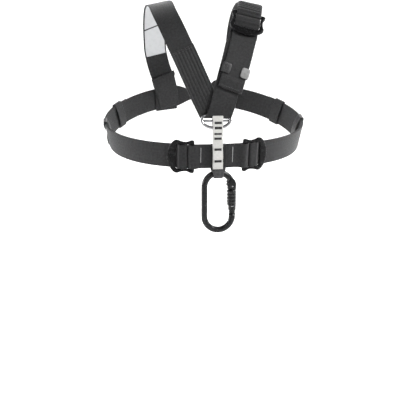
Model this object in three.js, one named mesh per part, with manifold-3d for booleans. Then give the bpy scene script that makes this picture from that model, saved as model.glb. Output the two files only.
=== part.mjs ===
// Climbing chest harness: belt, shoulder straps, sternal ring, connection strip and carabiner.
// Millimetres, +Z up, front towards -Y. The origin lies midway between the two shoulder tops.
import * as THREE from 'three'
import Module from 'manifold-3d'
import { mergeVertices } from 'three/addons/utils/BufferGeometryUtils.js'

const wasm = await Module()
wasm.setup()

// Webbing
const WEB_WIDTH = 44
const WEB_THICK = 1.9
const PLY_GAP = 0.45
const LAYER = WEB_THICK + PLY_GAP

// Belt: an ellipse round the chest that rises to the back
const BELT_HALF_WIDTH = 183
const BELT_HALF_DEPTH = 124.7
const BELT_FRONT_Z = -266.4
const BELT_SIDE_Z = -239.2
const BELT_BACK_Z = -184.3
const BELT_FRONT_LEAN = 0.12
const BELT_SIDE_LEAN = 0.19
const BELT_BACK_LEAN = -0.26

// Buckles
const BUCKLE_U_LEFT = 58.5
const BUCKLE_U_RIGHT = 67
const BUCKLE_HALF_LENGTH = 20
const BUCKLE_HALF_WIDTH = 29.8
const BUCKLE_THICK = 4.4
const BUCKLE_LIFT = 5.9
const BAR_MIDDLE = 0.5
const BAR_HALF = 5.2
const SLOT_HALF = 23.4
const END_BAR_INNER = 13.6
const FOLD_BAR_INNER = -15.6
const FOLD_SLACK = 2.4

// Belt free ends, keepers and clips
const TAIL_END_U = 348
const KEEPER_U = 322
const KEEPER_LENGTH = 20
const SIDE_CLIP_U = 252
const CLIP_LENGTH = 18
const CLIP_THICK = 1.4
const STRAP_CLIP_Q = 88.5
const FREE_END_RISE = 2.1
const PATCH_INNER_X = 40
const RIGHT_PATCH_TOP = 497
const BACK_BAND_HALF = 9
const BACK_BAND_THICK = 3.6

// Shoulders
const SHOULDER_SLOPE = 0.2
const RIGHT_DROP = 3.5
const BUCKLE_RISE = 9.5
const SHOULDER_TOP_Q = 272
const SHOULDER_X = 86
const SHOULDER_BUCKLE_Q = 183
const SHOULDER_BUCKLE_X = 65.5

// Ring
const RING_Q = 13.1
const RING_OFFSET = 6
const RING_X = -2.5
const RING_LEAN = 14 * Math.PI / 180
const RING_WIRE = 2.7
const RING_TOP_WIRE = 2.2
const RING_BAR = 2
const RING_BAR_DROP = 9.6

// Strip, loop and carabiner
const STRIP_WIDTH = 19.5
const LOOP_X = 4
const LOOP_RADIUS = 9.3
const CARABINER_X = 4.8
const CARABINER_Y = -124.5
const CARABINER_BAR_Z = -297.8
const CARABINER_WIRE = 5.6
const CARABINER_HALF_WIDTH = 25.4
const CARABINER_LENGTH = 105.4
const PIVOT_DROP = 25.5
const GATE_LENGTH = 49.5
const GATE_RADIUS = 4.4
const SLEEVE_RADIUS = 7.6
const SLEEVE_TOP = 5.2
const SLEEVE_LENGTH = 39

// Depth and height of the body's front, shoulder and back, followed by the shoulder straps
const PROFILE = [
  { y: -133, z: -206 },
  { y: -131, z: -176 },
  { y: -126, z: -136 },
  { y: -116, z: -96 },
  { y: -97, z: -56 },
  { y: -70, z: -26 },
  { y: -35, z: -6 },
  { y: 0, z: -1.5 },
  { y: 35, z: -4 },
  { y: 70, z: -19 },
  { y: 97, z: -48 },
  { y: 108, z: -86 },
  { y: 110, z: -126 },
  { y: 111, z: -166 },
  { y: 117, z: -211 },
]

// Sideways place of each strap's middle along the profile
const LEFT_PATH = [
  { q: 10, x: -6 },
  { q: 22, x: -12 },
  { q: 40, x: -20.5 },
  { q: 75, x: -36 },
  { q: 110, x: -50.5 },
  { q: 147, x: -65 },
  { q: 190, x: -78 },
  { q: 219, x: -83.5 },
  { q: 272, x: -86 },
  { q: 346, x: -85.5 },
  { q: 425, x: -82 },
  { q: 446, x: -79.2 },
  { q: 466, x: -74.4 },
  { q: 487, x: -67 },
  { q: 510, x: -62 },
  { q: 560, x: -57.5 },
]
const RIGHT_PATH = [
  { q: 10, x: 1 },
  { q: 22, x: 7 },
  { q: 57, x: 17 },
  { q: 74, x: 22 },
  { q: 109, x: 33.5 },
  { q: 135, x: 42 },
  { q: 158, x: 53.5 },
  { q: 170, x: 63 },
]
const FREE_END_PATH = [
  { q: 52, x: 20 },
  { q: 65, x: 24.8 },
  { q: 109, x: 40.6 },
  { q: 150, x: 54.6 },
  { q: 165, x: 61 },
]
// Offset of the right strap's plies from the profile
const RIGHT_OFFSET = [
  { q: 13, x: 9.5 },
  { q: 40, x: 8.6 },
  { q: 60, x: 7.2 },
  { q: 80, x: 5.8 },
  { q: 110, x: 4.2 },
  { q: 150, x: 2.6 },
  { q: 180, x: 1.2 },
]

// The free end lies over the strap, a little further out where the clip passes between them
function freeEndOffset(q) {
  const clip = Math.exp(-(((q - STRAP_CLIP_Q) / 30) ** 2))
  return Math.max(tableAt(RIGHT_OFFSET, 'q', 'x', q), 2.4) + LAYER + 0.5 + FREE_END_RISE * clip
}

const V = (x, y, z) => new THREE.Vector3(x, y, z)
const mix = (a, b, t) => a + (b - a) * t
const smooth = (t) => {
  const c = Math.min(1, Math.max(0, t))
  return c * c * (3 - 2 * c)
}

// Cubic curve through a table, with the key column k and the value column c
function tableAt(rows, k, c, at) {
  let i = 0
  while (i < rows.length - 2 && at > rows[i + 1][k]) i++
  const slope = (j) => {
    const a = rows[Math.max(0, j - 1)]
    const b = rows[Math.min(rows.length - 1, j + 1)]
    return (b[c] - a[c]) / (b[k] - a[k])
  }
  const a = rows[i]
  const b = rows[i + 1]
  const h = b[k] - a[k]
  const t = (at - a[k]) / h
  if (t < 0) return a[c] + slope(i) * t * h
  if (t > 1) return b[c] + slope(i + 1) * (t - 1) * h
  const t2 = t * t
  const t3 = t2 * t
  return (2 * t3 - 3 * t2 + 1) * a[c] + (t3 - 2 * t2 + t) * h * slope(i)
    + (3 * t2 - 2 * t3) * b[c] + (t3 - t2) * h * slope(i + 1)
}

const profileRows = []
for (let i = 0; i < PROFILE.length; i++) {
  const p = PROFILE[i]
  const last = profileRows[i - 1]
  profileRows.push({ q: last ? last.q + Math.hypot(p.y - last.y, p.z - last.z) : 0, y: p.y, z: p.z })
}

// Point, tangent and outward normal of the profile
function profileAt(q) {
  const at = (s) => V(0, tableAt(profileRows, 'q', 'y', s), tableAt(profileRows, 'q', 'z', s))
  const point = at(q)
  const tangent = at(q + 0.5).sub(at(q - 0.5)).normalize()
  const normal = V(0, -tangent.z, tangent.y)
  return { point, tangent, normal }
}

// Belt surface: half perimeter table by angle from the front, then a point at (u, v, offset)
function beltCentre(angle) {
  const c = Math.cos(angle)
  const s = Math.sin(angle)
  const z = BELT_SIDE_Z + (BELT_FRONT_Z - BELT_BACK_Z) / 2 * c
    + ((BELT_FRONT_Z + BELT_BACK_Z) / 2 - BELT_SIDE_Z) * c * c
  return V(BELT_HALF_WIDTH * s, -BELT_HALF_DEPTH * c, z)
}
const beltRows = []
for (let i = 0; i <= 180; i++) {
  const a = i * Math.PI / 180
  const last = beltRows[i - 1]
  beltRows.push({ a, u: last ? last.u + beltCentre(a).distanceTo(beltCentre(last.a)) : 0 })
}
const BELT_HALF_GIRTH = beltRows[180].u

function beltAngle(u) {
  const side = Math.sign(u) || 1
  return side * tableAt(beltRows, 'u', 'a', Math.abs(u))
}

function beltFrame(u) {
  return beltFrameAt(beltAngle(u))
}

function beltFrameAt(angle) {
  const c = Math.cos(angle)
  const s = Math.sin(angle)
  const origin = beltCentre(angle)
  const along = beltCentre(angle + 0.01).sub(beltCentre(angle - 0.01)).normalize()
  const flat = V(s * BELT_HALF_DEPTH, -c * BELT_HALF_WIDTH, 0).normalize()
  const lean = BELT_SIDE_LEAN + (BELT_FRONT_LEAN - BELT_BACK_LEAN) / 2 * c
    + ((BELT_FRONT_LEAN + BELT_BACK_LEAN) / 2 - BELT_SIDE_LEAN) * c * c
  const up = flat.multiplyScalar(Math.sin(lean)).add(V(0, 0, Math.cos(lean)))
  up.addScaledVector(along, -up.dot(along)).normalize()
  const out = along.clone().cross(up).normalize()
  return { origin, along, up, out }
}

function beltPoint(u, v, offset) {
  const f = beltFrame(u)
  return f.origin.clone().addScaledVector(f.up, v).addScaledVector(f.out, offset)
}

// Depth of the belt's middle surface at the back, and how much a normal offset grows along Y
function beltBack(x, z) {
  const s = Math.max(-0.98, Math.min(0.98, x / BELT_HALF_WIDTH))
  const angle = Math.PI - Math.asin(s)
  const f = beltFrameAt(angle)
  return { y: f.origin.y + (z - f.origin.z) * f.up.y / f.up.z, stretch: 1 / f.out.y }
}

// Strap point: q along the profile, t across the strap, offset outwards from the body
function strapPoint(path, q, t, offset) {
  const slope = (tableAt(path, 'q', 'x', q + 1) - tableAt(path, 'q', 'x', q - 1)) / 2
  const cosine = 1 / Math.hypot(1, slope)
  const at = q - t * slope * cosine
  const x = tableAt(path, 'q', 'x', q) + t * cosine
  const { point, normal } = profileAt(at)
  const tilt = SHOULDER_SLOPE * Math.exp(-(((at - SHOULDER_TOP_Q) / 95) ** 2))
  const p = V(x, point.y, point.z - tilt * (Math.abs(x) - SHOULDER_X)).addScaledVector(normal, offset)
  const low = smooth((-88 - p.z) / 70)
  if (at > 400 && low > 0) {
    const back = beltBack(x, p.z)
    p.y = mix(p.y, back.y + (offset - LAYER - 0.7) * back.stretch, low)
  }
  return p
}

// Ribbon station from a strap point
function strapStation(path, q, offset, half = WEB_WIDTH / 2) {
  const a = strapPoint(path, q, -half, offset)
  const b = strapPoint(path, q, half, offset)
  return { a, b }
}

function beltStation(u, offset, half = WEB_WIDTH / 2) {
  return { a: beltPoint(u, -half, offset), b: beltPoint(u, half, offset) }
}

function station(centre, across, half) {
  return {
    a: centre.clone().addScaledVector(across, -half),
    b: centre.clone().addScaledVector(across, half),
  }
}

const range = (from, to, count) => Array.from({ length: count + 1 }, (_, i) => mix(from, to, i / count))

function solid(name, positions, faces, look) {
  const g = new THREE.BufferGeometry()
  g.setAttribute('position', new THREE.Float32BufferAttribute(positions, 3))
  g.setIndex(faces)
  return finish(name, g, look)
}

function finish(name, geometry, look) {
  const g = geometry.index ? geometry.toNonIndexed() : geometry
  g.computeVertexNormals()
  const material = new THREE.MeshStandardMaterial(look)
  const mesh = new THREE.Mesh(g, material)
  mesh.name = name
  return mesh
}

// Closed ribbon of rectangular section through stations with edge points a and b
function ribbon(name, stations, thick, look, closed = false) {
  const n = stations.length
  const positions = []
  const faces = []
  const mid = stations.map((s) => s.a.clone().add(s.b).multiplyScalar(0.5))
  for (let i = 0; i < n; i++) {
    const before = closed ? mid[(i + n - 1) % n] : mid[Math.max(0, i - 1)]
    const after = closed ? mid[(i + 1) % n] : mid[Math.min(n - 1, i + 1)]
    const tangent = after.clone().sub(before).normalize()
    const across = stations[i].b.clone().sub(stations[i].a).normalize()
    const normal = tangent.cross(across).normalize()
    const half = (stations[i].thick || thick) / 2
    for (const [edge, side] of [['a', 1], ['b', 1], ['b', -1], ['a', -1]]) {
      const p = stations[i][edge].clone().addScaledVector(normal, side * half)
      positions.push(p.x, p.y, p.z)
    }
  }
  const spans = closed ? n : n - 1
  for (let i = 0; i < spans; i++) {
    for (let k = 0; k < 4; k++) {
      const a = i * 4 + k
      const b = i * 4 + (k + 1) % 4
      const c = ((i + 1) % n) * 4 + (k + 1) % 4
      const d = ((i + 1) % n) * 4 + k
      if (k === 2) faces.push(a, d, b, b, d, c)
      else faces.push(a, c, b, a, d, c)
    }
  }
  if (!closed) {
    const e = (n - 1) * 4
    faces.push(0, 1, 2, 0, 2, 3)
    faces.push(e, e + 2, e + 1, e, e + 3, e + 2)
  }
  return orient(solid(name, positions, faces, look))
}

// Turns the faces outwards when the enclosed volume comes out negative
function orient(mesh) {
  const p = mesh.geometry.attributes.position
  const at = (i) => V(p.getX(i), p.getY(i), p.getZ(i))
  let volume = 0
  for (let i = 0; i < p.count; i += 3) volume += at(i).dot(at(i + 1).cross(at(i + 2)))
  if (volume < 0) {
    for (let i = 0; i < p.count; i += 3) {
      const b = at(i + 1)
      const c = at(i + 2)
      p.setXYZ(i + 1, c.x, c.y, c.z)
      p.setXYZ(i + 2, b.x, b.y, b.z)
    }
    mesh.geometry.computeVertexNormals()
  }
  return mesh
}

// Tube of oval section along a list of points; frame(i) gives the two section directions and radii
function tube(points, frame, sides, closed) {
  const n = points.length
  const positions = []
  const faces = []
  for (let i = 0; i < n; i++) {
    const f = frame(i)
    for (let k = 0; k < sides; k++) {
      const t = k * 2 * Math.PI / sides
      const p = points[i].clone().addScaledVector(f.p, Math.cos(t) * f.rp)
        .addScaledVector(f.q, Math.sin(t) * f.rq)
      positions.push(p.x, p.y, p.z)
    }
  }
  const spans = closed ? n : n - 1
  for (let i = 0; i < spans; i++) {
    for (let k = 0; k < sides; k++) {
      const a = i * sides + k
      const b = i * sides + (k + 1) % sides
      const c = ((i + 1) % n) * sides + (k + 1) % sides
      const d = ((i + 1) % n) * sides + k
      faces.push(a, c, b, a, d, c)
    }
  }
  if (!closed) {
    const e = (n - 1) * sides
    for (let k = 1; k < sides - 1; k++) {
      faces.push(0, k, k + 1)
      faces.push(e, e + k + 1, e + k)
    }
  }
  return orient(solid('tube', positions, faces, {})).geometry
}

function toManifold(geometry) {
  const g = geometry.clone()
  g.deleteAttribute('normal')
  g.deleteAttribute('uv')
  const merged = mergeVertices(g, 1e-4)
  return new wasm.Manifold(new wasm.Mesh({
    numProp: 3,
    vertProperties: Float32Array.from(merged.attributes.position.array),
    triVerts: Uint32Array.from(merged.index.array),
  }))
}

function fromManifold(name, body, look) {
  const m = body.getMesh()
  const g = new THREE.BufferGeometry()
  const xyz = []
  for (let i = 0; i < m.vertProperties.length; i += m.numProp) {
    xyz.push(m.vertProperties[i], m.vertProperties[i + 1], m.vertProperties[i + 2])
  }
  g.setAttribute('position', new THREE.Float32BufferAttribute(xyz, 3))
  g.setIndex(Array.from(m.triVerts))
  return finish(name, g, look)
}

const WEBBING = { color: 0x3a3a3c, roughness: 0.85, metalness: 0 }
const BLACK_METAL = { color: 0x1d1d20, roughness: 0.35, metalness: 0.6 }
const POLISHED = { color: 0xd8d9db, roughness: 0.15, metalness: 1 }
const WHITE_WEB = { color: 0xd9d7d0, roughness: 0.8, metalness: 0 }
const GREY_WEB = { color: 0x4c4d4f, roughness: 0.85, metalness: 0 }
const PLASTIC = { color: 0x2c2c2f, roughness: 0.5, metalness: 0 }
const LABEL = { color: 0xdcdddd, roughness: 0.6, metalness: 0 }
const STEEL = { color: 0xb9babc, roughness: 0.3, metalness: 1 }

const group = new THREE.Group()
group.name = 'chest_harness'
const add = (mesh) => group.add(mesh)

// Buckle frames: a plate with two slots, in its own axes (u outwards or down, v across, n outwards)
function buckleBody() {
  const L = BUCKLE_HALF_LENGTH
  const W = BUCKLE_HALF_WIDTH
  const corner = 4
  const outline = []
  for (const [cu, cv, from] of [[1, 1, 0], [-1, 1, 90], [-1, -1, 180], [1, -1, 270]]) {
    for (const t of [0, 30, 60, 90]) {
      const a = (from + t) * Math.PI / 180
      outline.push([cu * (L - corner) + Math.cos(a) * corner, cv * (W - corner) + Math.sin(a) * corner])
    }
  }
  const shape = new THREE.Shape(outline.map(([x, y]) => new THREE.Vector2(x, y)))
  const plate = new THREE.ExtrudeGeometry(shape, { depth: BUCKLE_THICK, bevelEnabled: false })
  plate.translate(0, 0, -BUCKLE_THICK / 2)
  const slot = (from, to) => {
    const box = new THREE.BoxGeometry(to - from, 2 * SLOT_HALF, BUCKLE_THICK * 4)
    return toManifold(box.translate((from + to) / 2, 0, 0))
  }
  return toManifold(plate).subtract(slot(FOLD_BAR_INNER, BAR_MIDDLE - BAR_HALF))
    .subtract(slot(BAR_MIDDLE + BAR_HALF, END_BAR_INNER))
}

function placeBuckle(name, frame) {
  const mesh = fromManifold(name, buckleBody(), BLACK_METAL)
  const place = new THREE.Matrix4().makeBasis(frame.u, frame.v, frame.n).setPosition(frame.origin)
  mesh.geometry.applyMatrix4(place)
  return orient(mesh)
}

// Turns (u, n) in a buckle's frame into a ribbon station
function buckleStation(frame, u, n, half, shift = 0) {
  const centre = frame.origin.clone().addScaledVector(frame.u, u).addScaledVector(frame.n, n)
    .addScaledVector(frame.v, shift)
  return station(centre, frame.v, half)
}

// Way of the webbing through a buckle, from the free end's side over the middle bar and back
const over = PLY_GAP - 0.05 + WEB_THICK / 2 + BUCKLE_THICK / 2
const rollCentre = BAR_MIDDLE - BAR_HALF + 0.4
const THROUGH = [
  { u: 16.5, n: -over },
  { u: 14.2, n: -over },
  { u: 12.9, n: -over + 0.25 },
  { u: 12, n: -over + 0.95 },
  { u: 7.1, n: over - 0.75 },
  { u: 6.1, n: over - 0.1 },
  { u: 4.6, n: over },
  { u: 0.5, n: over },
]
for (const t of range(90, -90, 8)) {
  const a = t * Math.PI / 180
  THROUGH.push({ u: rollCentre - Math.cos(a) * over, n: Math.sin(a) * over })
}
THROUGH.push({ u: 0, n: -over })
THROUGH.push({ u: 3.5, n: -over - 0.3 })
THROUGH.push({ u: 8, n: -over - 1.6 })
THROUGH.push({ u: 11.5, n: -over - LAYER + 0.1 })
THROUGH.push({ u: 16.5, n: -over - LAYER })

const buckleU = (side) => side < 0 ? BUCKLE_U_LEFT : BUCKLE_U_RIGHT

function beltBuckleFrame(side) {
  const f = beltFrame(side * buckleU(side))
  return {
    origin: f.origin.clone().addScaledVector(f.out, BUCKLE_LIFT),
    u: f.along.clone().multiplyScalar(side),
    v: f.up.clone().multiplyScalar(side),
    n: f.out.clone(),
  }
}

const flip = (s) => ({ a: s.b, b: s.a })

function beltSide(side, suffix) {
  const frame = beltBuckleFrame(side)
  const endU = BELT_HALF_GIRTH - PATCH_INNER_X - 1
  const stations = []
  const from = buckleU(side) + BUCKLE_HALF_LENGTH + 4
  for (const u of range(TAIL_END_U, from, 28)) stations.push(beltStation(side * u, LAYER))
  for (const p of THROUGH) {
    const s = buckleStation(frame, p.u, p.n, WEB_WIDTH / 2)
    stations.push(side > 0 ? s : flip(s))
  }
  for (const u of range(from, endU, 36)) stations.push(beltStation(side * u, 0))
  add(ribbon('belt_webbing_' + suffix, stations, WEB_THICK, WEBBING))
  add(placeBuckle('chest_buckle_' + suffix, frame))
  return frame
}
const frameLeft = beltSide(-1, 'left')
const frameRight = beltSide(1, 'right')

// Centre band: a flat loop round the inner bars of both chest buckles
const foldBar = (-BUCKLE_HALF_LENGTH + FOLD_BAR_INNER) / 2
const foldRadius = 3.6 + WEB_THICK / 2
{
  const stations = []
  const half = WEB_WIDTH / 2
  const back = 1.5
  const front = 1.5 + LAYER
  const inset = BUCKLE_HALF_LENGTH + 14
  const low = inset - BUCKLE_U_LEFT
  const high = BUCKLE_U_RIGHT - inset
  for (const u of range(low, high, 10)) stations.push(beltStation(u, front, half))
  const bend = (frame, side) => {
    const list = []
    const angles = side > 0 ? range(110, -100, 8) : range(-100, 110, 8)
    for (const t of angles) {
      const a = t * Math.PI / 180
      const slack = Math.max(0, Math.cos(a)) * FOLD_SLACK
      const u = foldBar - 0.1 + Math.cos(a) * foldRadius + slack
      const s = buckleStation(frame, u, Math.sin(a) * foldRadius, half)
      list.push(side > 0 ? s : flip(s))
    }
    return list
  }
  stations.push(beltStation(high + 6, front + 1.6, half))
  stations.push(...bend(frameRight, 1))
  for (const u of range(high, low, 10)) stations.push(beltStation(u, back, half))
  stations.push(...bend(frameLeft, -1))
  stations.push(beltStation(low - 6, front + 1.6, half))
  add(ribbon('belt_centre_band', stations, WEB_THICK, WEBBING, true))
}

// Back band: the belt narrows between the two rear patches
{
  const end = PATCH_INNER_X + 0.55
  const stations = range(-end, end, 20).map((d) => {
    const t = smooth(Math.abs(d) / end)
    const half = mix(BACK_BAND_HALF, WEB_WIDTH / 2, Math.abs(d) > end - 5 ? 1 : t)
    const u = d < 0 ? -(BELT_HALF_GIRTH + d) : BELT_HALF_GIRTH - d
    const f = beltFrame(u)
    const s = beltStation(u, 0, half)
    s.thick = mix(BACK_BAND_THICK, WEB_THICK, t)
    return d < 0 ? s : { a: s.a, b: s.b, thick: s.thick, f }
  })
  add(ribbon('belt_back_band', stations, WEB_THICK, WEBBING))
}

// Flat band round the plies of a strap; path gives (v, n) round the section, frame places it
function bandRound(name, frame, outline, length, thick, look, closed) {
  const stations = outline.map((p) => {
    const c = frame.origin.clone().addScaledVector(frame.v, p.v).addScaledVector(frame.n, p.n)
    return station(c, frame.u, length / 2)
  })
  return ribbon(name, stations, thick, look, closed)
}

function roundedLoop(half, low, high, r) {
  const out = []
  const corner = (cv, cn, from) => {
    for (const t of range(from, from + 90, 3)) {
      const a = t * Math.PI / 180
      out.push({ v: cv + Math.cos(a) * r, n: cn + Math.sin(a) * r })
    }
  }
  corner(half - r, high - r, 0)
  corner(-half + r, high - r, 90)
  corner(-half + r, low + r, 180)
  corner(half - r, low + r, 270)
  return out
}

function clipOutline(half, low, high, r, lip) {
  const loop = roundedLoop(half, low, high, r)
  const out = [{ v: half - lip, n: high }]
  const right = loop.slice(12, 16).reverse()
  const first = loop.slice(0, 4)
  first.sort((p, q) => q.n - p.n)
  out.push(...first)
  right.sort((p, q) => q.n - p.n)
  out.push(...right)
  const lower = loop.slice(8, 12).sort((p, q) => p.n - q.n)
  out.push(...lower)
  const upper = loop.slice(4, 8).sort((p, q) => p.n - q.n)
  out.push(...upper)
  out.push({ v: -half + lip, n: high })
  return out
}

for (const [side, suffix] of [[-1, 'left'], [1, 'right']]) {
  const k = beltFrame(side * KEEPER_U)
  const keeper = { origin: k.origin, u: k.along, v: k.up, n: k.out }
  const half = WEB_WIDTH / 2 + 3
  add(bandRound('tail_keeper_' + suffix, keeper, roundedLoop(half, -2.8, LAYER + 2.8, 1.6),
    KEEPER_LENGTH, 1.2, WEBBING, true))
  const c = beltFrame(side * SIDE_CLIP_U)
  const clip = { origin: c.origin, u: c.along, v: c.up, n: c.out }
  add(bandRound('side_clip_' + suffix, clip, clipOutline(WEB_WIDTH / 2 + 2.3, -3, LAYER + 3, 2, 15),
    CLIP_LENGTH, CLIP_THICK, PLASTIC, false))
}

// Left shoulder strap: from the rear patch over the shoulder and down to the ribbed seam
{
  const stations = []
  for (const q of range(552, 248, 38)) stations.push(strapStation(LEFT_PATH, q, 0))
  for (const q of range(240, 40, 20)) stations.push(strapStation(LEFT_PATH, q, 0))
  add(ribbon('shoulder_strap_left', stations, WEB_THICK, WEBBING))
}

const MIRRORED = LEFT_PATH.map((r) => ({ q: r.q, x: -r.x }))

// Shoulder buckle on the right strap, lying along the profile; u runs down the strap
const shoulderFrame = (() => {
  const { point, tangent, normal } = profileAt(SHOULDER_BUCKLE_Q)
  const x = SHOULDER_BUCKLE_X
  const u = tangent.clone().negate().add(V(-0.27, 0, 0)).normalize()
  const tilt = SHOULDER_SLOPE * Math.exp(-(((SHOULDER_BUCKLE_Q - SHOULDER_TOP_Q) / 95) ** 2))
  const n0 = normal.clone().add(V(tilt * 0.9, 0, 0)).normalize()
  const v = n0.clone().cross(u).normalize()
  const n = u.clone().cross(v).normalize()
  const origin = V(x, point.y, point.z).addScaledVector(normal, BUCKLE_RISE)
  return { origin, u, v, n }
})()
add(placeBuckle('shoulder_buckle', shoulderFrame))

// Right rear strap: from the rear patch over the shoulder and round the buckle's upper bar
{
  const stations = []
  const f = shoulderFrame
  const half = WEB_WIDTH / 2
  const RISE = BUCKLE_RISE - foldRadius
  const lower = (q) => -RIGHT_DROP * smooth((400 - q) / 80)
  for (const q of range(552, 264, 36)) stations.push(strapStation(MIRRORED, q, lower(q)))
  const shoulderPath = [
    { q: 195, x: 70 },
    { q: 212, x: 75 },
    { q: 230, x: 79.5 },
    { q: 255, x: 84 },
    { q: 285, x: 86 },
  ]
  for (const q of [254, 244, 234, 224, 216]) {
    stations.push(strapStation(shoulderPath, q, mix(-RIGHT_DROP, RISE - 1, smooth((256 - q) / 42))))
  }
  for (const t of range(-75, 90, 8)) {
    const a = t * Math.PI / 180
    stations.push(buckleStation(f, foldBar + 0.1 + Math.cos(a) * foldRadius, Math.sin(a) * foldRadius, half))
  }
  for (const q of [213, 220, 228, 236, 245, 253]) {
    const rise = mix(RISE + LAYER + 4.2, LAYER - RIGHT_DROP, smooth((q - 209) / 38))
    stations.push(strapStation(shoulderPath, q, rise))
  }
  add(ribbon('shoulder_strap_right', stations, WEB_THICK, WEBBING))
}

// Front strap: from the seam on the left strap down round the ring's top bar and up to the buckle
const ringTop = (() => {
  const { point, normal, tangent } = profileAt(RING_Q)
  return { point: point.clone().addScaledVector(normal, RING_OFFSET), normal, tangent }
})()
{
  const stations = []
  const wrap = RING_TOP_WIRE + 0.4 + WEB_THICK / 2
  const half = WEB_WIDTH / 2
  for (const q of range(130, 30, 10)) stations.push(strapStation(LEFT_PATH, q, LAYER))
  stations.push(strapStation(LEFT_PATH, 23, LAYER, 21.8))
  for (const t of range(0, 180, 10)) {
    const a = t * Math.PI / 180
    const c = ringTop.point.clone().addScaledVector(ringTop.normal, -Math.cos(a) * wrap)
      .addScaledVector(ringTop.tangent, -Math.sin(a) * wrap)
    c.x = mix(-4.5, -0.5, t / 180)
    stations.push(station(c, V(1, 0, 0), 20))
  }
  stations.push(strapStation(RIGHT_PATH, 23, tableAt(RIGHT_OFFSET, 'q', 'x', 23), 21.8))
  for (const q of range(31, 158, 13)) {
    stations.push(strapStation(RIGHT_PATH, q, tableAt(RIGHT_OFFSET, 'q', 'x', q)))
  }
  const through = THROUGH.slice().reverse()
  through.forEach((p, i) => {
    const shift = i === 0 ? 4 : i === 1 ? 2 : 0
    stations.push(buckleStation(shoulderFrame, p.u, p.n, half, shift * -1))
  })
  for (const q of range(160, 56, 13)) stations.push(strapStation(FREE_END_PATH, q, freeEndOffset(q)))
  add(ribbon('front_strap', stations, WEB_THICK, WEBBING))
}

// Rear patches over the belt's inner face; the right one reaches further in and is shorter
for (const [path, suffix, top, shift, half] of [
  [LEFT_PATH, 'left', 480, 0, 23.4],
  [MIRRORED, 'right', RIGHT_PATCH_TOP, -3, 26.4],
]) {
  const shifted = path.map((r) => ({ q: r.q, x: r.x + shift }))
  const stations = range(549, top, 9).map((q) => strapStation(shifted, q, -LAYER, half))
  add(ribbon('rear_patch_' + suffix, stations, WEB_THICK, WEBBING))
}

// Blank label on the inner face of the left strap
{
  const stations = range(432, 296, 17).map((q) => strapStation(LEFT_PATH, q, -WEB_THICK / 2 - 0.85, 19))
  add(ribbon('label', stations, 0.6, LABEL))
}

// Clip round the free end on the right strap
{
  const q = STRAP_CLIP_Q
  const origin = strapPoint(FREE_END_PATH, q, 0, freeEndOffset(q))
  const u = strapPoint(FREE_END_PATH, q - 6, 0, freeEndOffset(q - 6))
    .sub(strapPoint(FREE_END_PATH, q + 6, 0, freeEndOffset(q + 6))).normalize()
  const v = profileAt(q).normal.cross(u).normalize()
  const n = u.clone().cross(v).normalize()
  const back = (WEB_THICK + CLIP_THICK) / 2 + PLY_GAP + 0.37
  add(bandRound('strap_clip', { origin, u, v, n }, clipOutline(WEB_WIDTH / 2 + 1.9, -back, back - 0.1, 1.6, 13.5),
    CLIP_LENGTH, CLIP_THICK, PLASTIC, false))
}

// Ring: a rounded outline with a cross bar
{
  const OUTLINE = [
    { x: 21.5, s: 0 },
    { x: 24.8, s: 3.2 },
    { x: 25.3, s: 8.6 },
    { x: 22.3, s: 14.6 },
    { x: 16.5, s: 18.9 },
    { x: 9, s: 21.2 },
  ]
  const down = V(0, 0, 0).addScaledVector(ringTop.normal, Math.sin(RING_LEAN))
    .addScaledVector(ringTop.tangent, -Math.cos(RING_LEAN))
  const face = V(1, 0, 0).cross(down).normalize()
  const at = (x, s) => ringTop.point.clone().add(V(RING_X + x, 0, 0)).addScaledVector(down, s)
  const knots = [at(-10, 0), at(10, 0)]
  for (const r of OUTLINE) knots.push(at(r.x, r.s))
  knots.push(at(0, 21.8))
  for (const r of OUTLINE.slice().reverse()) knots.push(at(-r.x, r.s))
  const curve = new THREE.CatmullRomCurve3(knots, true, 'centripetal')
  const count = 48
  const points = range(0, 1, count).slice(0, count).map((t) => curve.getPoint(t))
  const ring = tube(points, (i) => {
    const tangent = curve.getTangent(i / count).normalize()
    const drop = points[i].clone().sub(ringTop.point).dot(down)
    const wire = mix(RING_TOP_WIRE, RING_WIRE, smooth((drop - 0.5) / 5))
    return { p: tangent.cross(face).normalize(), q: face, rp: wire, rq: Math.min(wire, 2.5) }
  }, 10, true)
  const ends = [at(-25, RING_BAR_DROP), at(25, RING_BAR_DROP)]
  const bar = tube(ends, () => ({ p: down, q: face, rp: RING_BAR, rq: RING_BAR }), 12, false)
  add(fromManifold('sternal_ring', toManifold(ring).add(toManifold(bar)), POLISHED))
}

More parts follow.
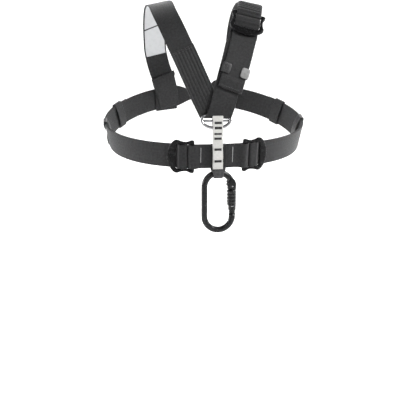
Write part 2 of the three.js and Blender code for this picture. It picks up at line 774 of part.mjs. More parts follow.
// Connection strip: loops over the ring's cross bar and lies doubled down the front of the belt
{
  const F = (f, z) => V(0, ringTop.point.y - f, ringTop.point.z + z)
  const beltF = (v, offset) => {
    const p = beltPoint(1, v, offset)
    return { f: ringTop.point.y - p.y, z: p.z - ringTop.point.z }
  }
  const rows = []
  const frontOffset = 1.5 + LAYER * 4 + 0.3
  const backOffset = frontOffset - LAYER
  for (const v of [-21.5, -10, 2, 14, 22]) rows.push(beltF(v, frontOffset))
  rows.push({ f: 5.2, z: -33 })
  rows.push({ f: 9.3, z: -27 })
  rows.push({ f: 10.5, z: -21 })
  rows.push({ f: 9.9, z: -12 })
  rows.push({ f: 9.2, z: -2.6 })
  for (const t of range(0, 180, 6).slice(1)) {
    const a = t * Math.PI / 180
    rows.push({ f: 7.55 + Math.cos(a) * 1.65, z: -2.2 + Math.sin(a) * 1.65 })
  }
  for (const t of [-30, -48, -66, -84]) {
    const a = t * Math.PI / 180
    rows.push({ f: Math.cos(a) * 5.95, z: Math.sin(a) * 5.95 })
  }
  rows.push({ f: -1.05, z: -8 })
  rows.push({ f: -1.15, z: -10.5 })
  rows.push({ f: 0.2, z: -15 })
  rows.push({ f: 1.1, z: -20 })
  rows.push({ f: 1.9, z: -27 })
  rows.push({ f: 1.2, z: -34 })
  for (const v of [22, 14, 2, -10, -19]) rows.push(beltF(v, backOffset))
  const stations = rows.map((r) => {
    const c = F(r.f, r.z)
    c.x = mix(2.2, -0.2, smooth((c.z + 280) / 80))
    return station(c, V(1, 0, 0), STRIP_WIDTH / 2)
  })
  add(ribbon('connection_strip', stations, WEB_THICK, WHITE_WEB))
}

// Loop sleeve: hangs round the belt and carries the carabiner's top
{
  const rows = []
  const at = (v, offset, half) => {
    const p = beltPoint(1, v, offset)
    rows.push({ y: p.y, z: p.z, half })
  }
  const frontOffset = 1.5 + LAYER * 2
  const backOffset = 1.5 - LAYER - 0.6
  at(21.5, frontOffset, 13.6)
  at(8, frontOffset, 13.6)
  at(-8, frontOffset, 13.6)
  at(-21.5, frontOffset, 13.6)
  rows.push({ y: CARABINER_Y - LOOP_RADIUS + 2.4, z: CARABINER_BAR_Z + 6.2, half: 12.6 })
  for (const t of range(180, 0, 12)) {
    const a = t * Math.PI / 180
    const half = mix(10.2, 7.6, Math.sin(a))
    rows.push({
      y: CARABINER_Y + Math.cos(a) * LOOP_RADIUS,
      z: CARABINER_BAR_Z - Math.sin(a) * LOOP_RADIUS,
      half,
    })
  }
  rows.push({ y: CARABINER_Y + LOOP_RADIUS - 1.6, z: CARABINER_BAR_Z + 7.2, half: 12.4 })
  at(-20, backOffset, 13.6)
  at(-8, backOffset, 13.6)
  at(8, backOffset, 13.6)
  at(21.5, backOffset, 13.6)
  const stations = rows.map((r) => station(V(LOOP_X, r.y, r.z), V(1, 0, 0), r.half))
  add(ribbon('loop_sleeve', stations, WEB_THICK, GREY_WEB))
}

// Carabiner: an open oval body, a gate between its ends and a locking sleeve on the gate
{
  const R = CARABINER_HALF_WIDTH
  const straight = CARABINER_LENGTH / 2 - R
  const cz = CARABINER_BAR_Z - CARABINER_LENGTH / 2
  const knots = []
  const topGap = CARABINER_BAR_Z - PIVOT_DROP + 5.2
  const noseGap = CARABINER_BAR_Z - PIVOT_DROP - GATE_LENGTH - 0.6
  const arc = (centreZ, from, to, count) => {
    for (const t of range(from, to, count)) {
      const a = t * Math.PI / 180
      knots.push(V(Math.cos(a) * R, 0, centreZ + Math.sin(a) * R))
    }
  }
  const startAngle = Math.asin((topGap - cz - straight) / R) * 180 / Math.PI
  arc(cz + straight, startAngle, 172, 20)
  for (const t of range(0, 1, 6)) knots.push(V(-R, 0, mix(cz + straight - 3, cz - straight + 3, t)))
  arc(cz - straight, 188, 352, 20)
  knots.push(V(R - 0.05, 0, noseGap))
  const shifted = knots.map((p) => V(p.x + CARABINER_X, CARABINER_Y, p.z))
  const body = tube(shifted, (i) => {
    const before = shifted[Math.max(0, i - 1)]
    const after = shifted[Math.min(shifted.length - 1, i + 1)]
    const tangent = i === 0 || i === shifted.length - 1 ? V(0, 0, 1) : after.clone().sub(before).normalize()
    const p = tangent.cross(V(0, 1, 0)).normalize()
    return { p, q: V(0, 1, 0), rp: CARABINER_WIRE, rq: CARABINER_WIRE - 0.3 }
  }, 12, false)
  add(finish('carabiner_body', body, BLACK_METAL))

  const pivotZ = CARABINER_BAR_Z - PIVOT_DROP
  const gatePoints = []
  const gateRadii = []
  for (const t of [80, 60, 40, 20, 0]) {
    const a = t * Math.PI / 180
    gatePoints.push(V(0, 0, Math.sin(a) * GATE_RADIUS))
    gateRadii.push(Math.cos(a) * GATE_RADIUS)
  }
  gatePoints.push(V(0, 0, -GATE_LENGTH))
  gateRadii.push(GATE_RADIUS)
  const lathe = (rows, x, z, sides) => {
    const g = new THREE.LatheGeometry(rows.map((r) => new THREE.Vector2(r[0], r[1])), sides)
    g.rotateX(Math.PI / 2)
    g.translate(x, CARABINER_Y, z)
    const n = mergeVertices(g.deleteAttribute('uv') && g, 1e-4)
    return n
  }
  const gateRows = [[0, -GATE_LENGTH], [GATE_RADIUS, -GATE_LENGTH], [GATE_RADIUS, 0]]
  for (const t of [20, 40, 60]) {
    const a = t * Math.PI / 180
    gateRows.push([Math.cos(a) * GATE_RADIUS, Math.sin(a) * GATE_RADIUS])
  }
  gateRows.push([0, GATE_RADIUS])
  const plain = (rows, x, z, sides) => {
    const g = lathe(rows, x, z, sides)
    g.deleteAttribute('normal')
    return mergeVertices(g, 1e-4)
  }
  add(orient(finish('carabiner_gate', plain(gateRows, CARABINER_X + R, pivotZ, 16), BLACK_METAL)))
  const inner = GATE_RADIUS + 0.4
  const low = -SLEEVE_TOP - SLEEVE_LENGTH
  const high = -SLEEVE_TOP
  const sleeveRows = [
    [inner, low], [SLEEVE_RADIUS - 1, low], [SLEEVE_RADIUS, low + 1.5],
    [SLEEVE_RADIUS, high - 1.5], [SLEEVE_RADIUS - 1, high], [inner, high], [inner, low],
  ]
  add(orient(finish('locking_sleeve', plain(sleeveRows, CARABINER_X + R, pivotZ, 20), BLACK_METAL)))
}

export default group
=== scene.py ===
"""Chest harness for climbing: webbing, stitching, buckles, ring, sewn strip and carabiner."""
import math

import bmesh
import bpy
import numpy as np
from mathutils import Matrix, Vector


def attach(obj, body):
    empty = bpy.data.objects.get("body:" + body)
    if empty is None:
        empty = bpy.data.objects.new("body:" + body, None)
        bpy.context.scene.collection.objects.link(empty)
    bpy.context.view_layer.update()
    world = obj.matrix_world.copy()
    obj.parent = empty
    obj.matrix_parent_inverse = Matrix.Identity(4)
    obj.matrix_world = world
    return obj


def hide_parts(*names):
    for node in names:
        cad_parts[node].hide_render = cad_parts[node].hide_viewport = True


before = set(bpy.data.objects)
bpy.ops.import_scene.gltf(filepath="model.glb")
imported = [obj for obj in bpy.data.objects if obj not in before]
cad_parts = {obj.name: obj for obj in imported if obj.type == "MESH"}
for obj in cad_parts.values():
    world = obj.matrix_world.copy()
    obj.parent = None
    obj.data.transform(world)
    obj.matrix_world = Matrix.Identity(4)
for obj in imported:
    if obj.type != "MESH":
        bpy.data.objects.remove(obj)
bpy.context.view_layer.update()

bl_info = {
    "name": "Climbing chest harness",
    "version": (1, 0, 0),
    "blender": (4, 5, 0),
    "location": "View3D > Sidebar > Harness",
    "description": "Webbing, metal parts and studio for a chest harness",
    "category": "Object",
}

MM = 0.001

# Lengths below are millimetres; u runs along the belt, q along the body's profile
LAYER = 2.35
BELT_HALF_WIDTH = 183.0
BELT_HALF_DEPTH = 124.7
BELT_FRONT_Z = -266.4
BELT_SIDE_Z = -239.2
BELT_BACK_Z = -184.3
BELT_FRONT_LEAN = 0.12
BELT_SIDE_LEAN = 0.19
BELT_BACK_LEAN = -0.26
BUCKLE_U = {-1: 58.5, 1: 67.0}
BUCKLE_HALF_LENGTH = 20.0
BUCKLE_THICK = 4.4
BUCKLE_LIFT = 5.9
BAR_MIDDLE = 0.5
BAR_HALF = 5.2
FOLD_BAR_INNER = -15.6
FOLD_SLACK = 3.9
TAIL_END_U = 348.0
KEEPER_U = 322.0
KEEPER_LENGTH = 20.0
SIDE_CLIP_U = 252.0
CLIP_LENGTH = 18.0
CLIP_THICK = 1.4
STRAP_CLIP_Q = 88.5
PATCH_INNER_X = 40.0
BACK_BAND_HALF = 9.0
SHOULDER_SLOPE = 0.2
RIGHT_DROP = 3.5
BUCKLE_RISE = 9.5
SHOULDER_TOP_Q = 272.0
SHOULDER_X = 86.0
SHOULDER_BUCKLE_Q = 175.5
SHOULDER_BUCKLE_X = 62.0
RING_LEAN = math.radians(14)
RING_X = -2.5
LOOP_X = 4.0
LOOP_RADIUS = 9.3
CARABINER = Vector((4.8, -124.5, -297.8))
CARABINER_HALF_WIDTH = 25.4
CARABINER_LENGTH = 105.4
PIVOT_DROP = 25.5
GATE_LENGTH = 49.5
GATE_RADIUS = 4.4
SLEEVE_TOP = 5.2
SLEEVE_LENGTH = 39.0
SLEEVE_RADIUS = 7.6
FOLD_BAR = (-BUCKLE_HALF_LENGTH + FOLD_BAR_INNER) / 2
FOLD_RADIUS = 4.55
RING_TOP_Q = 13.1
RING_TOP_LIFT = 6.0
REAR_GAP = 0.7
BUCKLE_MARGIN = 4.0
KEEPER_GAP = 2.1
KEEPER_THICK = 1.0
CLIP_GAP = 2.0
CLIP_LIP = 15.0
BAND_BACK = 1.5
PLATE_BEVEL = 0.5
HINGE_INNER = 4.7
CHEEK_THICK = 2.1
COMB_THICK = 4.2

# Sewing and label: rows and ends are places along a ribbon, the rest are millimetres
STITCH_PITCH = 3.3
STITCH_EDGE = 19.0
FOLD_START = -184
FOLD_RIDGE = 6.0
FOLD_RIDGES = 10
CHANNELS = (-17.5, -11.5, -5.5, 0.5, 6.5, 12.5, 18.0)
CHANNEL_ENDS = (-126, -34)
SEAM_ROWS = (-127.5, -124.5)
SEAM_EDGE = 20
HEM_ROWS = (1073, 1060)
STRIP_TACKS = (-203.4, -212.2, -222.9, -232.0, -252.2, -273.8)
STRIP_TACK_HALF = 6.7
STRIP_TACK_WIDTH = 4.6
CENTRE_TACKS = ((-27.5, -11.5), (29.5, -12.5))
CENTRE_TACK_TOP = 17.0
CENTRE_TACK_WIDTH = 1.5
PATCH_END = 549
PATCH_BOX = (543, 505)
PATCH_ROWS = (486, 494)
PATCH_HEM = 3
LABEL_ENDS = (440.5, 296)
LABEL_HALF = 19.6
LABEL_THICK = 0.5
LABEL_DIVIDER = 57.5
# Where the loop's weave turns grey and black again, from start to end of each change
LOOP_GREY_START = (40.0, 47.0)
LOOP_GREY_END = (92.0, 86.0)
# The face of each ribbon that carries its sewing, 1 or -1
RIGHT_OUT = -1
FRONT_OUT = 1
STRIP_OUT = -1
CENTRE_OUT = 1
PATCH_IN = 1

X_AXIS = Vector((1, 0, 0))
Y_AXIS = Vector((0, 1, 0))
Z_AXIS = Vector((0, 0, 1))

# Studio: floor, lens and sensor in millimetres, places of lamps and camera in metres
FLOOR_Z = -620.0
FLOOR_RADIUS = 2600.0
COVE_RADIUS = 1200.0
WALL_TOP = 4200.0
AIR_STRENGTH = 0.3
LAMP_TARGET = Vector((-0.0088, 0, -0.22))
# Lamps: name, place, width in metres and power in watts
LAMPS = [("key", (1.5, -1.3, 1.2), 0.6, 54.0), ("fill", (-1.5, -1.5, 1.3), 0.8, 9.0),
         ("back", (0.4, 1.9, 1.5), 1.2, 26.0), ("left", (-2.0, 0.3, 0.1), 0.8, 50.0),
         ("right", (2.0, 0.3, 0.1), 0.8, 50.0)]
CAMERA_PLACE = Vector((-0.2725, -1.6649, 0.0132))
CAMERA_FORWARD = Vector((0.15243, 0.96237, -0.22495))
CAMERA_RIGHT = Vector((0.98769, -0.15643, 0))
CAMERA_LENS = 79.92
SENSOR_WIDTH = 36.0

PROFILE = [(-133, -206), (-131, -176), (-126, -136), (-116, -96), (-97, -56), (-70, -26), (-35, -6),
           (0, -1.5), (35, -4), (70, -19), (97, -48), (108, -86), (110, -126), (111, -166), (117, -211)]
LEFT_PATH = [(10, -6), (22, -12), (40, -20.5), (75, -36), (110, -50.5), (147, -65), (190, -78),
             (219, -83.5), (272, -86), (346, -85.5), (425, -82), (446, -79.2), (466, -74.4),
             (487, -67), (510, -62), (560, -57.5)]
MIRRORED = [(q, -x) for q, x in LEFT_PATH]
RIGHT_PATH = [(10, 1), (22, 7), (57, 17), (74, 22), (109, 33.5), (135, 42), (158, 53.5), (170, 63)]
FREE_END_PATH = [(52, 20), (65, 24.8), (109, 40.6), (150, 54.6), (165, 61)]
SHOULDER_PATH = [(190, 66.3), (212, 72.6), (230, 77.4), (255, 83), (285, 86)]
RIGHT_OFFSET = [(13, 9.5), (40, 8.6), (60, 7.2), (80, 5.8), (110, 4.2), (150, 2.6), (180, 1.2)]
RING_OUTLINE = [(21.5, 0), (24.8, 3.2), (25.3, 8.6), (22.3, 14.6), (16.5, 18.9), (9, 21.2)]
# Rim of a buckle: outer edge (u, v), inner edge (u, v) and thickness, from the end plate to the fold bar
BUCKLE_RIM = [
    (28.0, 0, 13.6, 0, 4.0), (27.7, 6, 13.6, 5.5, 4.0), (26.4, 13, 13.6, 11.5, 4.0),
    (23.6, 20, 13.6, 17, 4.2), (19.6, 26, 13.2, 20.8, 4.6), (14.8, 30, 11.4, 22.3, 5.8),
    (9.6, 30.6, 8.4, 22.6, 5.8), (4, 28.6, 3.6, 22.7, 4.4), (-3, 27.4, -3, 22.7, 3.8),
    (-8.5, 27.9, -8.5, 22.7, 4.4), (-14.6, 30.4, -12.8, 22.7, 5.6), (-19.6, 29.4, -15.2, 21.6, 5.6),
    (-20.6, 22, -15.6, 18, 4.6), (-20, 10, -15.6, 9, 4.4), (-20, 0, -15.6, 0, 4.4),
]
# Outline (x, z) of the gate's hinge cheeks, from the pivot
CHEEK = [(6.2, -3.2), (6.4, 4), (5.6, 8.5), (3.0, 13.5), (-1.5, 16), (-5.5, 14), (-8.6, 10.5),
         (-9.9, 8), (-8.9, 5.6), (-10.0, 3.2), (-9.5, 0.9), (-7.6, -0.6), (-4.2, -2.3), (-1.5, -3.5),
         (3, -4.2), (5.6, -4.1)]
# Outline (x, z) of the gate's comb, which turns between the cheeks
COMB = [(0, -4.7), (-5, -4.8), (-8.4, -4.8), (-9.0, -3.4), (-8.6, -1.6), (-7.4, 0.8), (-4.5, 2.6),
        (0, 3.2), (3.4, 2.0), (4.2, -1.0), (3.8, -4.4)]
# Rear patches: side, path of the strap, upper end, shift inwards and half width
PATCHES = [("left", LEFT_PATH, 480, 0, 23.4), ("right", MIRRORED, 497, -3, 26.4)]


# Settings

class HarnessSizes(bpy.types.PropertyGroup):
    """Sizes of the webbing and of what is sewn to it."""
    web_width: bpy.props.FloatProperty(
        name="Webbing width", description="Width of belt and straps", default=0.044,
        subtype="DISTANCE", unit="LENGTH")
    web_thick: bpy.props.FloatProperty(
        name="Webbing thickness", description="Thickness of one ply", default=0.0019,
        subtype="DISTANCE", unit="LENGTH")
    strip_width: bpy.props.FloatProperty(
        name="Strip width", description="Width of the white strip", default=0.0184,
        subtype="DISTANCE", unit="LENGTH")
    stitch_length: bpy.props.FloatProperty(
        name="Stitch length", description="Length of one stitch", default=0.0024,
        subtype="DISTANCE", unit="LENGTH")
    stitch_width: bpy.props.FloatProperty(
        name="Thread width", description="Width of the sewing thread", default=0.0008,
        subtype="DISTANCE", unit="LENGTH")
    channel_depth: bpy.props.FloatProperty(
        name="Channel depth", description="Depth of the sewn channels of the front strap",
        default=0.00042, subtype="DISTANCE", unit="LENGTH")
    ring_wire: bpy.props.FloatProperty(
        name="Ring wire", description="Radius of the ring's wire", default=0.0027,
        subtype="DISTANCE", unit="LENGTH")
    carabiner_wire: bpy.props.FloatProperty(
        name="Carabiner wire", description="Radius of the carabiner's bar", default=0.0056,
        subtype="DISTANCE", unit="LENGTH")


class HarnessColours(bpy.types.PropertyGroup):
    """Colours of the materials and of the studio."""
    webbing: bpy.props.FloatVectorProperty(
        name="Webbing", description="Black webbing", default=(0.0105, 0.0105, 0.011),
        subtype="COLOR", min=0, max=1)
    strip: bpy.props.FloatVectorProperty(
        name="Strip", description="Off-white strip", default=(0.49, 0.485, 0.468),
        subtype="COLOR", min=0, max=1)
    sleeve: bpy.props.FloatVectorProperty(
        name="Loop sleeve", description="Grey sleeve of the loop", default=(0.03, 0.03, 0.0312),
        subtype="COLOR", min=0, max=1)
    label: bpy.props.FloatVectorProperty(
        name="Label", description="Blank label", default=(0.52, 0.53, 0.54),
        subtype="COLOR", min=0, max=1)
    coating: bpy.props.FloatVectorProperty(
        name="Coating", description="Black coating of buckles and carabiner",
        default=(0.005, 0.005, 0.0054), subtype="COLOR", min=0, max=1)
    polish: bpy.props.FloatVectorProperty(
        name="Polished steel", description="Ring of polished steel", default=(0.34, 0.34, 0.35),
        subtype="COLOR", min=0, max=1)
    plastic: bpy.props.FloatVectorProperty(
        name="Clip plastic", description="Dark moulded clips", default=(0.02, 0.02, 0.021),
        subtype="COLOR", min=0, max=1)
    tab: bpy.props.FloatVectorProperty(
        name="Clip tab", description="Light tab of the strap clip", default=(0.2, 0.2, 0.198),
        subtype="COLOR", min=0, max=1)
    thread: bpy.props.FloatVectorProperty(
        name="Dark thread", description="Thread of the bar tacks", default=(0.006, 0.006, 0.0063),
        subtype="COLOR", min=0, max=1)
    light_thread: bpy.props.FloatVectorProperty(
        name="Light thread", description="Thread of the centre band", default=(0.2, 0.2, 0.2),
        subtype="COLOR", min=0, max=1)
    floor: bpy.props.FloatVectorProperty(
        name="Floor", description="Floor and backdrop", default=(0.9, 0.9, 0.9),
        subtype="COLOR", min=0, max=1)


def sizes():
    return bpy.context.scene.harness_sizes


def colours():
    return bpy.context.scene.harness_colours


def web_half():
    return sizes().web_width / MM / 2


def web_thick():
    return sizes().web_thick / MM


# Curves that carry the webbing

def mix(a, b, t):
    return a + (b - a) * t


def smooth(t):
    c = min(1.0, max(0.0, t))
    return c * c * (3 - 2 * c)


def spaced(start, end, count):
    return [mix(start, end, i / count) for i in range(count + 1)]


def cubic(t, start, end, leaving, arriving):
    """Curve from start to end with these slopes at its ends, t from 0 to 1."""
    t2 = t * t
    t3 = t2 * t
    return ((2 * t3 - 3 * t2 + 1) * start + (t3 - 2 * t2 + t) * leaving
            + (3 * t2 - 2 * t3) * end + (t3 - t2) * arriving)


def table_at(rows, at):
    """Cubic curve through a table of (key, value)."""
    i = 0
    while i < len(rows) - 2 and at > rows[i + 1][0]:
        i += 1

    def slope(j):
        a = rows[max(0, j - 1)]
        b = rows[min(len(rows) - 1, j + 1)]
        return (b[1] - a[1]) / (b[0] - a[0])

    a = rows[i]
    b = rows[i + 1]
    h = b[0] - a[0]
    t = (at - a[0]) / h
    if t < 0:
        return a[1] + slope(i) * t * h
    if t > 1:
        return b[1] + slope(i + 1) * (t - 1) * h
    return cubic(t, a[1], b[1], h * slope(i), h * slope(i + 1))


def profile_tables():
    q = 0.0
    ys = []
    zs = []
    for i, (y, z) in enumerate(PROFILE):
        if i:
            q += math.hypot(y - PROFILE[i - 1][0], z - PROFILE[i - 1][1])
        ys.append((q, y))
        zs.append((q, z))
    return ys, zs


PROFILE_Y, PROFILE_Z = profile_tables()


def profile_at(q):
    """Point, tangent and outward normal of the body's profile."""
    def at(s):
        return Vector((0, table_at(PROFILE_Y, s), table_at(PROFILE_Z, s)))
    tangent = (at(q + 0.5) - at(q - 0.5)).normalized()
    return at(q), tangent, Vector((0, -tangent.z, tangent.y))


def belt_centre(angle):
    c = math.cos(angle)
    z = (BELT_SIDE_Z + (BELT_FRONT_Z - BELT_BACK_Z) / 2 * c
         + ((BELT_FRONT_Z + BELT_BACK_Z) / 2 - BELT_SIDE_Z) * c * c)
    return Vector((BELT_HALF_WIDTH * math.sin(angle), -BELT_HALF_DEPTH * c, z))


def belt_table():
    rows = [(0.0, 0.0)]
    for i in range(1, 181):
        a = math.radians(i)
        step = (belt_centre(a) - belt_centre(rows[-1][1])).length
        rows.append((rows[-1][0] + step, a))
    return rows


BELT_ROWS = belt_table()
HALF_GIRTH = BELT_ROWS[-1][0]


def belt_frame_at(angle):
    """Origin, along, up and out of the belt at an angle from the front."""
    c = math.cos(angle)
    s = math.sin(angle)
    along = (belt_centre(angle + 0.01) - belt_centre(angle - 0.01)).normalized()
    flat = Vector((s * BELT_HALF_DEPTH, -c * BELT_HALF_WIDTH, 0)).normalized()
    lean = (BELT_SIDE_LEAN + (BELT_FRONT_LEAN - BELT_BACK_LEAN) / 2 * c
            + ((BELT_FRONT_LEAN + BELT_BACK_LEAN) / 2 - BELT_SIDE_LEAN) * c * c)
    up = flat * math.sin(lean) + Vector((0, 0, math.cos(lean)))
    up = (up - along * up.dot(along)).normalized()
    return belt_centre(angle), along, up, along.cross(up).normalized()


def belt_frame(u):
    side = -1 if u < 0 else 1
    return belt_frame_at(side * table_at(BELT_ROWS, abs(u)))


def belt_point(u, v, offset):
    origin, along, up, out = belt_frame(u)
    return origin + up * v + out * offset


def belt_back(x, z):
    s = max(-0.98, min(0.98, x / BELT_HALF_WIDTH))
    origin, along, up, out = belt_frame_at(math.pi - math.asin(s))
    return origin.y + (z - origin.z) * up.y / up.z, 1 / out.y


def shoulder_tilt(q):
    """Slope of the shoulders across the body, strongest at their top."""
    return SHOULDER_SLOPE * math.exp(-(((q - SHOULDER_TOP_Q) / 95) ** 2))


def strap_point(path, q, t, offset):
    """q along the profile, t across the strap, offset outwards from the body."""
    slope = (table_at(path, q + 1) - table_at(path, q - 1)) / 2
    cosine = 1 / math.hypot(1, slope)
    at = q - t * slope * cosine
    x = table_at(path, q) + t * cosine
    point, tangent, normal = profile_at(at)
    p = Vector((x, point.y, point.z - shoulder_tilt(at) * (abs(x) - SHOULDER_X))) + normal * offset
    low = smooth((-88 - p.z) / 70)
    if at > 400 and low > 0:
        back, stretch = belt_back(x, p.z)
        p.y = mix(p.y, back + (offset - LAYER - REAR_GAP) * stretch, low)
    return p


def skew_station(path, low, high, offset, key):
    """Station whose two edges have their own place: low and high are (q, t)."""
    return strap_point(path, *low, offset), strap_point(path, *high, offset), key


def strap_station(path, q, offset, key):
    return skew_station(path, (q, -web_half()), (q, web_half()), offset, key)


def belt_station(u, offset, key, half=None):
    half = half or web_half()
    return belt_point(u, -half, offset), belt_point(u, half, offset), key


def station(centre, across, half, key):
    return centre - across * half, centre + across * half, key


def belt_buckle_frame(side):
    origin, along, up, out = belt_frame(side * BUCKLE_U[side])
    return origin + out * BUCKLE_LIFT, along * side, up * side, out


def shoulder_buckle_frame():
    point, tangent, normal = profile_at(SHOULDER_BUCKLE_Q)
    u = (-tangent + Vector((-0.27, 0, 0))).normalized()
    tilt = 0.9 * shoulder_tilt(SHOULDER_BUCKLE_Q)
    v = (normal + X_AXIS * tilt).normalized().cross(u).normalized()
    origin = Vector((SHOULDER_BUCKLE_X, point.y, point.z)) + normal * BUCKLE_RISE
    return origin, u, v, u.cross(v).normalized()


def buckle_station(place, u, n, key, shift=0.0):
    origin, eu, ev, en = place
    return station(origin + eu * u + en * n + ev * shift, ev, web_half(), key)


def through_buckle():
    """Way (u, n) of the webbing through a buckle, over its middle bar and back."""
    over = 0.4 + web_thick() / 2 + BUCKLE_THICK / 2
    roll = BAR_MIDDLE - BAR_HALF + 0.4
    way = [(16.5, -over), (14.2, -over), (12.9, -over + 0.25), (12, -over + 0.95), (7.1, over - 0.75),
           (6.1, over - 0.1), (4.6, over), (0.5, over)]
    for t in spaced(90, -90, 8):
        a = math.radians(t)
        way.append((roll - math.cos(a) * over, math.sin(a) * over))
    way += [(0, -over), (3.5, -over - 0.3), (8, -over - 1.6), (11.5, -over - LAYER + 0.1),
            (16.5, -over - LAYER)]
    return way


def free_end_offset(q):
    clip = math.exp(-(((q - STRAP_CLIP_Q) / 30) ** 2))
    return max(table_at(RIGHT_OFFSET, q), 2.4) + LAYER + 0.5 + 2.1 * clip


def ring_top():
    point, tangent, normal = profile_at(RING_TOP_Q)
    return point + normal * RING_TOP_LIFT, tangent, normal


# Mesh making

def make_object(name, vertices, faces, uvs=None):
    """Mesh object from millimetre vertices; uvs holds one (across, along) pair per face corner."""
    mesh = bpy.data.meshes.new(name)
    mesh.from_pydata([tuple(p) for p in np.asarray(vertices, float) * MM], [], [list(f) for f in faces])
    mesh.polygons.foreach_set("use_smooth", [True] * len(mesh.polygons))
    if uvs is not None:
        layer = mesh.uv_layers.new(name="weave")
        layer.data.foreach_set("uv", np.asarray(uvs, np.float32).ravel())
    mesh.update()
    piece = bpy.data.objects.new(name, mesh)
    bpy.context.scene.collection.objects.link(piece)
    return piece


def dress(piece, material, body="harness", nodes=()):
    piece.data.materials.clear()
    piece.data.materials.append(material)
    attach(piece, body)
    if nodes:
        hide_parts(*nodes)
    return piece


